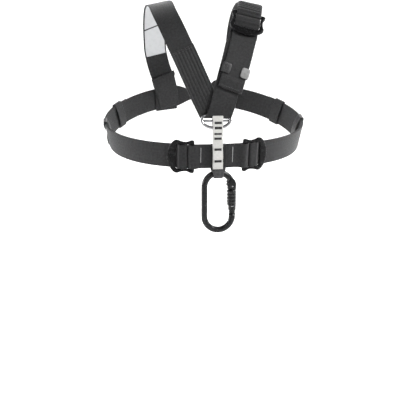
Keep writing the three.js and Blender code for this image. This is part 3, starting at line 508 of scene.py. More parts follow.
class Ribbon:
    """Smooth strip of webbing through stations (edge a, edge b, key[, thickness])."""

    def __init__(self, stations, thick, closed=False, step=2.4, relief=None):
        raw = np.array([[*s[0], *s[1], s[2], s[3] if len(s) > 3 else thick] for s in stations], float)
        if closed:
            raw = np.vstack([raw, raw[:1]])
        mid = (raw[:, :3] + raw[:, 3:6]) / 2
        h = np.maximum(np.linalg.norm(np.diff(mid, axis=0), axis=1), 1e-3)
        d = np.diff(raw[:, :6], axis=0) / h[:, None]
        m = np.zeros((len(raw), 6))
        m[1:-1] = (d[:-1] * h[1:, None] + d[1:] * h[:-1, None]) / (h[:-1] + h[1:])[:, None]
        m[0] = d[0]
        m[-1] = d[-1]
        if closed:
            m[0] = m[-1] = (d[-1] * h[0] + d[0] * h[-1]) / (h[0] + h[-1])
        rows = []
        for i in range(len(h)):
            count = max(2, int(math.ceil(h[i] / step)))
            for k in range(count):
                t = k / count
                edge = cubic(t, raw[i, :6], raw[i + 1, :6], h[i] * m[i], h[i] * m[i + 1])
                rest = raw[i, 6:] * (1 - t) + raw[i + 1, 6:] * t
                rows.append(np.concatenate([edge, rest]))
        if not closed:
            rows.append(raw[-1])
        rows = np.array(rows)
        self.closed = closed
        self.relief = relief
        self.a = rows[:, :3]
        self.b = rows[:, 3:6]
        self.key = rows[:, 6]
        self.thick = rows[:, 7]
        self.mid = (self.a + self.b) / 2
        self.half = np.linalg.norm(self.b - self.a, axis=1) / 2
        self.across = (self.b - self.a) / (2 * self.half[:, None])
        if closed:
            tangent = np.roll(self.mid, -1, axis=0) - np.roll(self.mid, 1, axis=0)
            gaps = np.linalg.norm(np.roll(self.mid, -1, axis=0) - self.mid, axis=1)
        else:
            tangent = np.gradient(self.mid, axis=0)
            gaps = np.append(np.linalg.norm(np.diff(self.mid, axis=0), axis=1), 0)
        self.tangent = tangent / np.linalg.norm(tangent, axis=1)[:, None]
        normal = np.cross(self.tangent, self.across)
        self.normal = normal / np.linalg.norm(normal, axis=1)[:, None]
        self.s = np.concatenate([[0], np.cumsum(gaps)])[:-1]
        self.length = float(np.sum(gaps))

    def height(self, key, v, side):
        if self.relief is None:
            return np.zeros(np.broadcast(key, v).shape)
        return self.relief(key, v, side) + np.zeros(np.broadcast(key, v).shape)

    def s_of(self, key):
        """Length along the ribbon of the place with this key where the keys run slowest."""
        found = []
        for i in range(len(self.key) - 1):
            low, high = self.key[i], self.key[i + 1]
            if min(low, high) <= key <= max(low, high) and low != high:
                at = self.s[i] + (self.s[i + 1] - self.s[i]) * (key - low) / (high - low)
                found.append((abs(high - low), i, at))
        if not found:
            raise ValueError("no place with key %s" % key)
        return min(found)[2]

    def point(self, s, v, side=1, lift=0.0):
        """Surface point, and the directions along, across and out there."""
        i = int(np.clip(np.searchsorted(self.s, s) - 1, 0, len(self.s) - 2))
        t = (s - self.s[i]) / max(1e-6, self.s[i + 1] - self.s[i])

        def at(values):
            return values[i] * (1 - t) + values[i + 1] * t

        relief = self.height(np.array(at(self.key)), np.array(float(v)), side)
        rise = at(self.thick) / 2 + float(relief)
        out = at(self.normal) * side
        place = at(self.mid) + at(self.across) * v + out * (rise + lift)
        return place, at(self.tangent), at(self.across), out

    def build(self, name, columns=2.2):
        half = float(np.mean(self.half))
        edge = np.array([0, 0.12, 0.4, 0.85, 1.5])
        edge = edge[edge < half * 0.8]
        inner = half - edge[-1]
        count = max(2, int(round(2 * inner / columns)))
        middle = np.linspace(-inner, inner, count + 1)
        v0 = np.concatenate([-half + edge[:-1], middle, half - edge[:-1][::-1]])
        f = v0 / half
        c = len(f)
        n = len(self.mid)
        e = (1 - np.abs(f)) * half
        round_off = np.sqrt(np.clip(1 - (1 - np.minimum(e / 0.85, 1)) ** 2, 0, 1))
        v = self.half[:, None] * f[None, :]
        key = self.key[:, None]
        base = self.mid[:, None, :] + self.across[:, None, :] * v[:, :, None]
        body = self.thick[:, None] / 2
        top = (body + self.height(key, v, 1)) * round_off[None, :]
        low = (body + self.height(key, v, -1)) * round_off[None, :]
        up = base + self.normal[:, None, :] * top[:, :, None]
        down = base - self.normal[:, None, :] * low[:, :, None]
        ring = 2 * c - 2
        vertices = np.concatenate([up, down[:, -2:0:-1]], axis=1)
        flat_v = np.concatenate([v, v[:, -2:0:-1]], axis=1).ravel()
        flat_s = np.repeat(self.s, ring)
        faces = []
        wrap = []
        spans = n if self.closed else n - 1
        for i in range(spans):
            j = (i + 1) % n
            for k in range(ring):
                l = (k + 1) % ring
                faces.append((i * ring + k, j * ring + k, j * ring + l, i * ring + l))
                wrap.append(j == 0)
        if not self.closed:
            for at, flip in ((0, False), ((n - 1) * ring, True)):
                for k in range(c - 1):
                    under = at + (ring - k) % ring if k else at
                    right = at + ring - k - 1 if k + 1 < c - 1 else at + c - 1
                    corners = [at + k, at + k + 1, right, under]
                    corners = list(dict.fromkeys(corners))
                    faces.append(tuple(corners[::-1] if flip else corners))
                    wrap.append(False)
        uvs = []
        for face, wrapped in zip(faces, wrap):
            for vertex in face:
                s = flat_s[vertex]
                if wrapped and vertex < ring:
                    s = self.length
                uvs.append((flat_v[vertex], s))
        return make_object(name, vertices.reshape(-1, 3), faces, uvs)


def merged(parts):
    """Joins (vertices, faces) lists into one."""
    vertices = []
    faces = []
    for points, polygons in parts:
        shift = len(vertices)
        vertices.extend([tuple(p) for p in points])
        faces.extend([tuple(i + shift for i in f) for f in polygons])
    return vertices, faces


def superellipse(k, sides, power):
    """Corner k of a rounded square of half width one."""
    c = math.cos(2 * math.pi * k / sides)
    s = math.sin(2 * math.pi * k / sides)
    return math.copysign(abs(c) ** (2 / power), c), math.copysign(abs(s) ** (2 / power), s)


def tube_faces(rings, sides, closed=False):
    faces = []
    for i in range(rings if closed else rings - 1):
        j = (i + 1) % rings
        for k in range(sides):
            l = (k + 1) % sides
            faces.append((i * sides + k, i * sides + l, j * sides + l, j * sides + k))
    return faces


def dome_faces(rings, sides):
    """Faces of rings that run from the middle of the top outwards and down, with both ends closed."""
    faces = [tuple(range(sides))]
    for i in range(rings - 1):
        for k in range(sides):
            l = (k + 1) % sides
            faces.append((i * sides + k, (i + 1) * sides + k, (i + 1) * sides + l, i * sides + l))
    faces.append(tuple((rings - 1) * sides + k for k in range(sides))[::-1])
    return faces


def capped(part, sides):
    vertices, faces = part
    last = len(vertices) - sides
    return vertices, faces + [tuple(range(sides))[::-1], tuple(last + k for k in range(sides))]


def sweep(points, p_axes, q_axes, rp, rq, sides=16, closed=False, power=2.0):
    """Tube of superellipse section; p, q and the direction of travel are right-handed."""
    vertices = []
    for c, p, q, a, b in zip(points, p_axes, q_axes, rp, rq):
        for k in range(sides):
            x, y = superellipse(k, sides, power)
            vertices.append(Vector(c) + Vector(p) * (x * a) + Vector(q) * (y * b))
    tube = vertices, tube_faces(len(points), sides, closed)
    return tube if closed else capped(tube, sides)


def side_axes(points, face):
    """Sideways directions along a closed path that lies in a plane with this normal."""
    n = len(points)
    return [(points[(i + 1) % n] - points[i - 1]).normalized().cross(face).normalized() for i in range(n)]


def hoop(centre, place, half_u, half_v, wide, thick, count):
    """Closed oval of wire round a centre, in the plane of a place (origin, u, v, out)."""
    eu, ev, en = place[1:]
    path = []
    for k in range(count):
        t = 2 * math.pi * k / count
        path.append(centre + eu * (half_u * math.cos(t)) + ev * (half_v * math.sin(t)))
    return sweep(path, side_axes(path, en), [en] * count, [wide] * count, [thick] * count, 8, True)


def smooth_rows(rows, count):
    """Closed list of rows of numbers resampled by a Catmull-Rom curve, count steps to each row."""
    rows = [np.array(r, float) for r in rows]
    n = len(rows)
    out = []
    for i in range(n):
        p = [rows[(i + k) % n] for k in (-1, 0, 1, 2)]
        for k in range(count):
            t = k / count
            out.append(0.5 * (2 * p[1] + (p[2] - p[0]) * t + (2 * p[0] - 5 * p[1] + 4 * p[2] - p[3]) * t * t
                              + (3 * p[1] - p[0] - 3 * p[2] + p[3]) * t ** 3))
    return out


def lathe(rows, centre, sides, swell=None):
    """Turned wall about a vertical axis from (radius, z) rows, open at both ends unless they meet."""
    vertices = []
    for i, (r, z) in enumerate(rows):
        for k in range(sides):
            a = 2 * math.pi * k / sides
            more = swell(z, a) if swell else 0
            vertices.append(centre + Vector((math.cos(a) * (r + more), math.sin(a) * (r + more), z)))
    return vertices, tube_faces(len(rows), sides)


def pad(place, half_u, half_v, thick, power, sides=32):
    """Domed button with a rounded outline on a place (origin, u, v, out)."""
    origin, eu, ev, en = place
    rows = [(0.04, 1.0), (0.5, 0.97), (0.78, 0.88), (0.92, 0.66), (0.99, 0.3), (1.0, 0.0), (0.97, -0.12)]
    vertices = []
    for scale, rise in rows:
        for k in range(sides):
            x, y = superellipse(k, sides, power)
            flat = eu * (x * half_u * scale) + ev * (y * half_v * scale)
            vertices.append(origin + flat + en * (rise * thick))
    return vertices, dome_faces(len(rows), sides)


def stitch_rows(name, ribbon, runs, side):
    """Thread along runs of (key, v) corners sewn to one face of a ribbon."""
    long = sizes().stitch_length / MM / 2
    wide = sizes().stitch_width / MM / 2
    ring = [(math.cos(2 * math.pi * k / 6), math.sin(2 * math.pi * k / 6)) for k in range(6)]
    parts = []
    for run in runs:
        corners = [(ribbon.s_of(key), v) for key, v in run]
        for (s0, v0), (s1, v1) in zip(corners, corners[1:]):
            length = math.hypot(s1 - s0, v1 - v0)
            count = max(1, int(round(length / STITCH_PITCH)))
            for i in range(count):
                t = (i + 0.5) / count
                s = mix(s0, s1, t)
                v = mix(v0, v1, t)
                centre, along, across, out = [Vector(x) for x in ribbon.point(s, v, side, -0.05)]
                way = (along * (s1 - s0) + across * (v1 - v0)).normalized()
                flat = out.cross(way).normalized()
                points = [centre - way * long]
                for end in (-0.55, 0.55):
                    middle = centre + way * (long * end)
                    points += [middle + flat * (x * wide) + out * (y * wide * 0.6) for x, y in ring]
                points.append(centre + way * long)
                faces = []
                for k in range(6):
                    l = (k + 1) % 6
                    faces += [(0, 1 + l, 1 + k), (1 + k, 1 + l, 7 + l, 7 + k), (13, 7 + k, 7 + l)]
                parts.append((points, faces))
    return make_object(name, *merged(parts))


def bar_tack(ribbon, key, v0, v1, width, rise, side):
    """Raised block of dense zigzag thread across a ribbon, as (vertices, faces)."""
    s0 = ribbon.s_of(key)
    nx = max(8, int(abs(v1 - v0) / 0.35))
    ny = 6
    points = []
    for j in range(ny + 1):
        y = 2 * j / ny - 1
        for i in range(nx + 1):
            x = i / nx
            edge = (1 - abs(y) ** 3) * (1 - abs(2 * x - 1) ** 14)
            thread = 0.8 + 0.2 * math.cos(2 * math.pi * (x * (v1 - v0) / 0.9 + y * 0.25))
            v = mix(v0, v1, x)
            s = s0 + y * width / 2 * (1 + 0.05 * math.sin(9 * x))
            points.append(ribbon.point(s, v, side, rise * edge * thread - 0.12)[0])
    under = len(points)
    for j in range(ny + 1):
        s = s0 + (2 * j / ny - 1) * width / 2
        points += [ribbon.point(s, mix(v0, v1, i / nx), side, -0.4)[0] for i in range(nx + 1)]
    faces = []
    for j in range(ny):
        for i in range(nx):
            a = j * (nx + 1) + i
            b = a + nx + 1
            faces.append((a, a + 1, b + 1, b))
            faces.append((under + a, under + b, under + b + 1, under + a + 1))
    rim = ([i for i in range(nx)] + [j * (nx + 1) + nx for j in range(ny)]
           + [ny * (nx + 1) + i for i in range(nx, 0, -1)] + [j * (nx + 1) for j in range(ny, 0, -1)])
    for a, b in zip(rim, rim[1:] + rim[:1]):
        faces.append((a, under + a, under + b, b))
    along, across, out = [Vector(x) for x in ribbon.point(s0, 0, side)[1:]]
    if across.cross(along).dot(out) < 0:
        faces = [f[::-1] for f in faces]
    return points, faces


# Materials

class Graph:
    """Small helper for building a material's nodes."""

    def __init__(self, name):
        self.material = bpy.data.materials.new(name)
        self.material.use_nodes = True
        self.nodes = self.material.node_tree.nodes
        self.links = self.material.node_tree.links
        self.shader = self.nodes["Principled BSDF"]

    def feed(self, value, socket):
        if isinstance(value, bpy.types.NodeSocket):
            self.links.new(value, socket)
        else:
            socket.default_value = value

    def math(self, operation, a, b=0.0):
        node = self.nodes.new("ShaderNodeMath")
        node.operation = operation
        self.feed(a, node.inputs[0])
        self.feed(b, node.inputs[1])
        return node.outputs[0]

    def blend(self, factor, a, b):
        node = self.nodes.new("ShaderNodeMix")
        node.data_type = "RGBA"
        self.feed(factor, node.inputs[0])
        self.feed(a, node.inputs[6])
        self.feed(b, node.inputs[7])
        return node.outputs[2]

    def noise(self, vector, scale, detail=3.0, roughness=0.5):
        node = self.nodes.new("ShaderNodeTexNoise")
        node.inputs["Scale"].default_value = scale
        node.inputs["Detail"].default_value = detail
        node.inputs["Roughness"].default_value = roughness
        self.links.new(vector, node.inputs["Vector"])
        return node.outputs["Fac"]

    def spread(self, value, low, high, to_low=0.0, to_high=1.0):
        node = self.nodes.new("ShaderNodeMapRange")
        node.clamp = True
        self.links.new(value, node.inputs["Value"])
        for name, number in (("From Min", low), ("From Max", high), ("To Min", to_low), ("To Max", to_high)):
            node.inputs[name].default_value = number
        return node.outputs["Result"]

    def bump(self, height, distance, strength):
        node = self.nodes.new("ShaderNodeBump")
        node.inputs["Strength"].default_value = strength
        node.inputs["Distance"].default_value = distance * MM
        self.links.new(height, node.inputs["Height"])
        self.links.new(node.outputs["Normal"], self.shader.inputs["Normal"])

    def weave_uv(self):
        """Across and along the webbing, in millimetres, and the pair as a vector."""
        uv = self.nodes.new("ShaderNodeUVMap")
        uv.uv_map = "weave"
        split = self.nodes.new("ShaderNodeSeparateXYZ")
        self.links.new(uv.outputs["UV"], split.inputs[0])
        return split.outputs["X"], split.outputs["Y"], uv.outputs["UV"]

    def place(self):
        """Position on the piece, in millimetres."""
        coord = self.nodes.new("ShaderNodeTexCoord")
        scale = self.nodes.new("ShaderNodeVectorMath")
        scale.operation = "SCALE"
        scale.inputs["Scale"].default_value = 1 / MM
        self.links.new(coord.outputs["Object"], scale.inputs[0])
        return scale.outputs[0]

    def set(self, **values):
        names = {"metallic": "Metallic", "roughness": "Roughness", "sheen": "Sheen Weight",
                 "sheen_roughness": "Sheen Roughness", "specular": "Specular IOR Level"}
        for key, value in values.items():
            self.shader.inputs[names[key]].default_value = value


def shade(colour, factor):
    return tuple(min(1.0, c * factor) for c in colour) + (1.0,)


def webbing_material(name, colour, crest_shade_strength=0.35, chevron=5.5, pitch=1.7, depth=0.16, lint=0.12, edge=20.2,
                     mottled=1.9, belt_colour=None):
    """Twill webbing: chevrons, thread bumps, selvedge and a little lint; its colour is painted lighter on
    the weave's crests and darker in its valleys and selvedge groove, which is painted highlight and painted
    shade.

    With a belt colour only the loop round the carabiner keeps the pattern's own colour.
    """
    g = Graph(name)
    v, s, uv = g.weave_uv()
    zigzag = g.math("PINGPONG", g.math("ADD", v, 110.0), chevron / 2)
    phase = g.math("ADD", g.math("MULTIPLY", s, 2 * math.pi / pitch), g.math("MULTIPLY", zigzag, 1.7))
    twill = g.math("SINE", phase)
    rib = g.math("SINE", g.math("MULTIPLY", v, 2 * math.pi / 1.15))
    fuzz = g.noise(uv, 1.9, 4.0, 0.6)
    height = g.math("ADD", g.math("MULTIPLY", twill, 0.45), g.math("MULTIPLY", rib, 0.2))
    height = g.math("ADD", height, fuzz)
    selvedge = g.spread(g.math("ABSOLUTE", v), edge, edge + 0.7)
    from_edge = g.math("ABSOLUTE", g.math("SUBTRACT", g.math("ABSOLUTE", v), edge))
    groove = g.spread(from_edge, 0.0, 0.55, 1.0, 0.0)
    height = g.math("SUBTRACT", height, g.math("MULTIPLY", groove, 0.8))
    # Base colour follows the weave's height: painted highlight on the crests, painted shade in the valleys
    # and in the selvedge groove
    crest_shading = g.spread(height, -0.4, 1.5)
    base = g.blend(crest_shading, shade(colour, 1 - crest_shade_strength), shade(colour, 1 + crest_shade_strength))
    cloud = g.spread(g.noise(uv, 0.055, 3.0), 0.3, 0.7)
    base = g.blend(g.math("MULTIPLY", cloud, 0.35), base, shade(colour, 1.45))
    mottle = g.spread(g.noise(uv, 0.26, 4.0, 0.6), 0.36, 0.64)
    base = g.blend(mottle, base, shade(colour, mottled))
    worn = g.spread(g.noise(uv, 0.3, 5.0, 0.7), 0.56, 0.75)
    base = g.blend(g.math("MULTIPLY", g.math("MULTIPLY", worn, selvedge), 0.6), base, shade(colour, 2.2))
    specks = g.spread(g.noise(uv, 1.1, 2.0, 0.5), 0.7, 0.78)
    base = g.blend(g.math("MULTIPLY", specks, lint), base, shade(colour, 3.0))
    if belt_colour is not None:
        round_bar = g.math("MULTIPLY", g.spread(s, *LOOP_GREY_START), g.spread(s, *LOOP_GREY_END))
        base = g.blend(round_bar, shade(belt_colour, 1.0), base)
    g.links.new(base, g.shader.inputs["Base Color"])
    g.links.new(g.spread(crest_shading, 0.0, 1.0, 0.7, 0.46), g.shader.inputs["Roughness"])
    g.set(sheen=0.035, sheen_roughness=0.35, specular=0.24)
    g.bump(height, depth, 0.75)
    return g.material


def coated_material(name, colour, roughness, gloss):
    """Black coating on metal: slight orange peel, handling marks and rubbed patches."""
    g = Graph(name)
    place = g.place()
    peel = g.noise(place, 1.6, 3.0)
    marks = g.spread(g.noise(place, 0.16, 6.0, 0.65), 0.45, 0.72)
    scratches = g.spread(g.noise(place, 0.9, 8.0, 0.75), 0.62, 0.7)
    base = g.blend(g.math("MULTIPLY", marks, 0.55), shade(colour, 1.0), shade(colour, 2.4))
    base = g.blend(g.math("MULTIPLY", scratches, 0.35), base, shade(colour, 7.0))
    g.links.new(base, g.shader.inputs["Base Color"])
    g.links.new(g.spread(marks, 0.0, 1.0, roughness - 0.06, roughness + 0.16), g.shader.inputs["Roughness"])
    g.set(specular=gloss)
    g.bump(g.math("ADD", peel, g.math("MULTIPLY", scratches, -0.4)), 0.05, 0.6)
    return g.material


def polished_material(name, colour):
    """Polished steel with fine circular scratches and smudges."""
    g = Graph(name)
    place = g.place()
    smudge = g.spread(g.noise(place, 0.12, 4.0, 0.6), 0.4, 0.7)
    lines = g.noise(place, 2.6, 6.0, 0.8)
    base = g.blend(g.math("MULTIPLY", smudge, 0.5), shade(colour, 1.0), shade(colour, 0.8))
    g.links.new(base, g.shader.inputs["Base Color"])
    g.links.new(g.spread(smudge, 0.0, 1.0, 0.07, 0.2), g.shader.inputs["Roughness"])
    g.set(metallic=1.0)
    g.bump(lines, 0.02, 0.4)
    return g.material


def plastic_material(name, colour):
    """Moulded plastic with a fine spark-eroded grain."""
    g = Graph(name)
    place = g.place()
    grain = g.noise(place, 2.2, 3.0, 0.6)
    rub = g.spread(g.noise(place, 0.2, 5.0), 0.42, 0.7)
    base = g.blend(g.math("MULTIPLY", rub, 0.5), shade(colour, 0.9), shade(colour, 1.5))
    g.links.new(base, g.shader.inputs["Base Color"])
    g.links.new(g.spread(rub, 0.0, 1.0, 0.5, 0.36), g.shader.inputs["Roughness"])
    g.set(specular=0.5)
    g.bump(grain, 0.06, 0.5)
    return g.material


def label_material(name, colour):
    """Satin label: two plain white fields, parted and edged by a dark woven line."""
    g = Graph(name)
    v, s, uv = g.weave_uv()
    rows = g.math("SINE", g.math("MULTIPLY", s, 2 * math.pi / 0.6))
    cloud = g.spread(g.noise(uv, 0.06, 4.0), 0.3, 0.75)
    creases_and_shade = g.spread(g.noise(uv, 0.13, 5.0, 0.65), 0.5, 0.66)
    base = g.blend(g.math("MULTIPLY", cloud, 0.5), shade(colour, 1.0), shade(colour, 0.84))
    # Painted shade: the label's colour is darker along the creases
    base = g.blend(g.math("MULTIPLY", creases_and_shade, 0.3), base, shade(colour, 0.7))
    slant = g.math("SUBTRACT", s, g.math("MULTIPLY", v, 0.3))
    divider = g.spread(g.math("ABSOLUTE", g.math("SUBTRACT", slant, LABEL_DIVIDER)), 1.3, 1.9, 1.0, 0.0)
    hem = g.spread(g.math("ABSOLUTE", v), 19.0, 19.3)
    base = g.blend(g.math("MAXIMUM", divider, g.math("MULTIPLY", hem, 0.85)), base, (0.03, 0.03, 0.032, 1))
    g.links.new(base, g.shader.inputs["Base Color"])
    g.links.new(g.spread(cloud, 0.0, 1.0, 0.5, 0.65), g.shader.inputs["Roughness"])
    g.set(sheen=0.2, specular=0.4)
    g.bump(g.math("ADD", g.math("MULTIPLY", rows, 0.2), g.math("MULTIPLY", creases_and_shade, 2.0)), 0.12, 0.7)
    return g.material


def thread_material(name, colour):
    """Twisted polyester thread."""
    g = Graph(name)
    place = g.place()
    twist = g.noise(place, 3.2, 4.0, 0.6)
    base = g.blend(g.spread(twist, 0.3, 0.7), shade(colour, 0.7), shade(colour, 1.5))
    g.links.new(base, g.shader.inputs["Base Color"])
    g.links.new(g.spread(twist, 0.3, 0.7, 0.65, 0.45), g.shader.inputs["Roughness"])
    g.set(sheen=0.2)
    g.bump(twist, 0.08, 0.7)
    return g.material


def floor_material():
    """Pale floor, darker in front of the object and a little bright of itself behind it."""
    g = Graph("pale studio floor")
    floor = colours().floor
    grain = g.noise(g.place(), 0.004, 2.0)
    split = g.nodes.new("ShaderNodeSeparateXYZ")
    g.links.new(g.place(), split.inputs[0])
    rear = g.spread(split.outputs["Y"], -1500.0, -350.0)
    high = g.spread(split.outputs["Z"], -600.0, 300.0)
    pale = g.blend(g.spread(grain, 0.3, 0.7), shade(floor, 0.985), shade(floor, 1.0))
    front = g.blend(high, shade(floor, 0.75), shade(floor, 0.5))
    glow = g.spread(split.outputs["Y"], -400.0, 900.0, 0.0, 0.3)
    g.links.new(glow, g.shader.inputs["Emission Strength"])
    g.shader.inputs["Emission Color"].default_value = (1, 1, 1, 1)
    g.links.new(g.blend(rear, front, pale), g.shader.inputs["Base Color"])
    g.set(roughness=0.95, specular=0.1)
    return g.material


MADE = {}


def finish_of(name):
    """Each material is made once and shared."""
    if name in MADE:
        return MADE[name]
    c = colours()
    makers = {
        "black_webbing": lambda: webbing_material("black webbing", c.webbing),
        "white_strip": lambda: webbing_material("off-white strip webbing", c.strip, 0.12, 4.0, 1.5, 0.14,
                                                0.0, 8.6, 0.94),
        "grey_sleeve": lambda: webbing_material("grey sleeve weave", c.sleeve, 0.3, 3.0, 1.3, 0.14,
                                                0.1, 12.4, belt_colour=c.webbing),
        "label": lambda: label_material("blank satin label", c.label),
        "coated": lambda: coated_material("black coated steel", c.coating, 0.26, 0.13),
        "anodised": lambda: coated_material("black anodised carabiner", c.coating, 0.24, 0.3),
        "polished": lambda: polished_material("polished ring steel", c.polish),
        "clip": lambda: plastic_material("dark clip plastic", c.plastic),
        "tab": lambda: plastic_material("light clip tab plastic", c.tab),
        "thread": lambda: thread_material("dark thread", c.thread),
        "light_thread": lambda: thread_material("light thread", c.light_thread),
        "web_thread": lambda: thread_material("webbing thread", c.webbing),
    }
    MADE[name] = makers[name]()
    return MADE[name]


# Pieces

def near(value, at, width):
    return np.exp(-((value - at) / width) ** 2)


def step_at(value, start, end):
    t = np.clip((value - start) / (end - start), 0, 1)
    return t * t * (3 - 2 * t)


def soft_wave(key, v, side):
    """Gentle unevenness that all webbing has."""
    return 0.1 * np.sin(key * 0.11 + 0.6) * np.cos(v * 0.13) * side


def belt_ribbon(side):
    place = belt_buckle_frame(side)
    start = BUCKLE_U[side] + BUCKLE_HALF_LENGTH + BUCKLE_MARGIN
    stations = [belt_station(side * u, LAYER, -u) for u in spaced(TAIL_END_U, start, 28)]
    way = through_buckle()
    for i, (u, n) in enumerate(way):
        a, b, key = buckle_station(place, u, n, mix(-start, start, (i + 1) / (len(way) + 1)))
        stations.append((a, b, key) if side > 0 else (b, a, key))
    end = HALF_GIRTH - PATCH_INNER_X - 1
    stations += [belt_station(side * u, 0, u) for u in spaced(start, end, 36)]
    return Ribbon(stations, web_thick(), relief=soft_wave)


def centre_ribbon():
    low = BUCKLE_HALF_LENGTH + 14 - BUCKLE_U[-1]
    high = BUCKLE_U[1] - BUCKLE_HALF_LENGTH - 14
    back = BAND_BACK
    front = BAND_BACK + LAYER

    def bend(side):
        place = belt_buckle_frame(side)
        angles = spaced(110, -100, 8) if side > 0 else spaced(-100, 110, 8)
        out = []
        for i, t in enumerate(angles):
            c = math.cos(math.radians(t))
            u = FOLD_BAR - 0.1 + c * FOLD_RADIUS + max(0.0, c) * FOLD_SLACK
            n = math.sin(math.radians(t)) * FOLD_RADIUS
            a, b, key = buckle_station(place, u, n, side * (200 + i))
            out.append((a, b, key) if side > 0 else (b, a, key))
        return out

    stations = [belt_station(u, front, u) for u in spaced(low, high, 10)]
    stations.append(belt_station(high + 6, front + 1.6, high + 6))
    stations += bend(1)
    stations += [belt_station(u, back, 1000 + u) for u in spaced(high, low, 10)]
    stations += bend(-1)
    stations.append(belt_station(low - 6, front + 1.6, low - 6))
    return Ribbon(stations, web_thick(), closed=True)


def back_ribbon():
    end = PATCH_INNER_X + 0.55
    stations = []
    for d in spaced(-end, end, 20):
        t = smooth(abs(d) / end)
        half = mix(BACK_BAND_HALF, web_half(), 1 if abs(d) > end - 5 else t)
        u = -(HALF_GIRTH + d) if d < 0 else HALF_GIRTH - d
        a, b, key = belt_station(u, 0, d, half)
        stations.append((a, b, key, mix(3.6, web_thick(), t)))
    return Ribbon(stations, web_thick())


def left_ribbon():
    def relief(key, v, side):
        seam = 0.35 * (near(key, 470, 1.6) + near(key, 462, 1.6))
        return soft_wave(key, v, side) + seam

    stations = [strap_station(LEFT_PATH, q, 0, q) for q in spaced(552, 248, 38)]
    stations += [strap_station(LEFT_PATH, q, 0, q) for q in spaced(240, 40, 20)]
    return Ribbon(stations, web_thick(), relief=relief)


def right_ribbon():
    place = shoulder_buckle_frame()
    rise = BUCKLE_RISE - FOLD_RADIUS

    def relief(key, v, side):
        ridge = 2.3 * np.abs(np.sin((key - FOLD_START) * math.pi / FOLD_RIDGE)) ** 0.75
        zone = step_at(-key, 183, 186) * step_at(-key, 256, 250)
        inset = 1 - 0.75 * step_at(np.abs(v), 19.5, 21.5)
        return ridge * zone * inset * (1 if side * RIGHT_OUT > 0 else 0)

    stations = [strap_station(MIRRORED, q, -RIGHT_DROP * smooth((400 - q) / 80), q)
                for q in spaced(552, 264, 36)]
    for q in (254, 244, 234, 224, 216, 207):
        height = mix(-RIGHT_DROP, rise - 1, smooth((256 - q) / 42))
        stations.append(strap_station(SHOULDER_PATH, q, height, q))
    for i, t in enumerate(spaced(-75, 90, 8)):
        a = math.radians(t)
        u = FOLD_BAR + 0.1 + math.cos(a) * FOLD_RADIUS
        stations.append(buckle_station(place, u, math.sin(a) * FOLD_RADIUS, -178 - 1.64 * i))
    for q in (208, 217, 226, 235, 244, 252):
        height = mix(rise + LAYER + 3.2, LAYER - RIGHT_DROP, smooth((q - 204) / 42))
        stations.append(strap_station(SHOULDER_PATH, q, height, -q))
    return Ribbon(stations, web_thick(), step=0.9, relief=relief)


def front_ribbon():
    """Front strap: from the seam on the left strap round the ring and up to the shoulder buckle."""
    depth = sizes().channel_depth / MM

    def relief(key, v, side):
        zone = step_at(-key, 22, 30) * step_at(-key, 131, 126)
        groove = 1.7 * sum(near(v, c, 0.8) for c in CHANNELS)
        puff = 0.5 - 0.5 * np.cos((v - CHANNELS[0]) * 2 * math.pi / 6.0)
        left = zone * (0.3 * puff - depth * groove) if side == FRONT_OUT else 0 * zone
        hem = step_at(key, 1050, 1052) * step_at(key, 1078, 1074) * 0.85
        dent = step_at(key, 1050, 1052) * near(key, 1072.5, 0.8) * 0.4
        right = (hem - dent) if side == FRONT_OUT else 0 * hem
        roll = near(key, 452, 13) + near(key, 504, 12) + near(key, 556, 9)
        fold = 1.7 * roll if side == FRONT_OUT else 0 * roll
        return left + right + fold + soft_wave(key, v, side) * 0.8

    point, tangent, normal = ring_top()
    wrap = 2.2 + 0.4 + web_thick() / 2
    stations = []
    for q in spaced(130, 30, 10) + [23]:
        turn = smooth((50 - q) / 27)
        stations.append(skew_station(LEFT_PATH, (q - 7 * turn, -22), (q + 3 * turn, 22), LAYER, -q))
    for i, t in enumerate(spaced(0, 180, 10)):
        a = math.radians(t)
        c = point - normal * (math.cos(a) * wrap) - tangent * (math.sin(a) * wrap)
        c.x = mix(-5.2, -0.5, t / 180)
        sag = smooth((t - 60) / 120)
        c.z -= 2.2 * sag
        across = (X_AXIS - Z_AXIS * (0.11 * sag)).normalized()
        stations.append(station(c, across, mix(21.2, 20, i / 10), mix(-18, 18, i / 10)))
    for q, down in ((23, 8), (31, 5)):
        height = table_at(RIGHT_OFFSET, q)
        stations.append(skew_station(RIGHT_PATH, (q, -21.9), (q - down, 21.3), height, q))
    stations += [strap_station(RIGHT_PATH, q, table_at(RIGHT_OFFSET, q), q) for q in spaced(42, 153, 12)]
    place = shoulder_buckle_frame()
    for i, (u, n) in enumerate(through_buckle()[::-1]):
        shift = {0: -4, 1: -2}.get(i, 0)
        stations.append(buckle_station(place, u, n, 200 + i * 20, shift))
    stations += [strap_station(FREE_END_PATH, q, free_end_offset(q), 1000 + q) for q in spaced(155, 56, 13)]
    return Ribbon(stations, web_thick(), relief=relief)


def pinched(stations):
    """The strip's front ply with more stations, drawn in at each tack."""
    out = []
    for here, after in zip(stations, stations[1:]):
        steps = 8 if here[2] < 0 else 1
        for k in range(steps):
            a, b, key = [mix(p, q, k / steps) for p, q in zip(here, after)]
            if here[2] < 0 and after[2] > 0:
                key = here[2]
            drawn = 0.9 * sum(math.exp(-(((key - z) / 2.4) ** 2)) for z in STRIP_TACKS) if key < 0 else 0.0
            across = (b - a).normalized()
            out.append((a + across * drawn, b - across * drawn, key))
    return out + [stations[-1]]


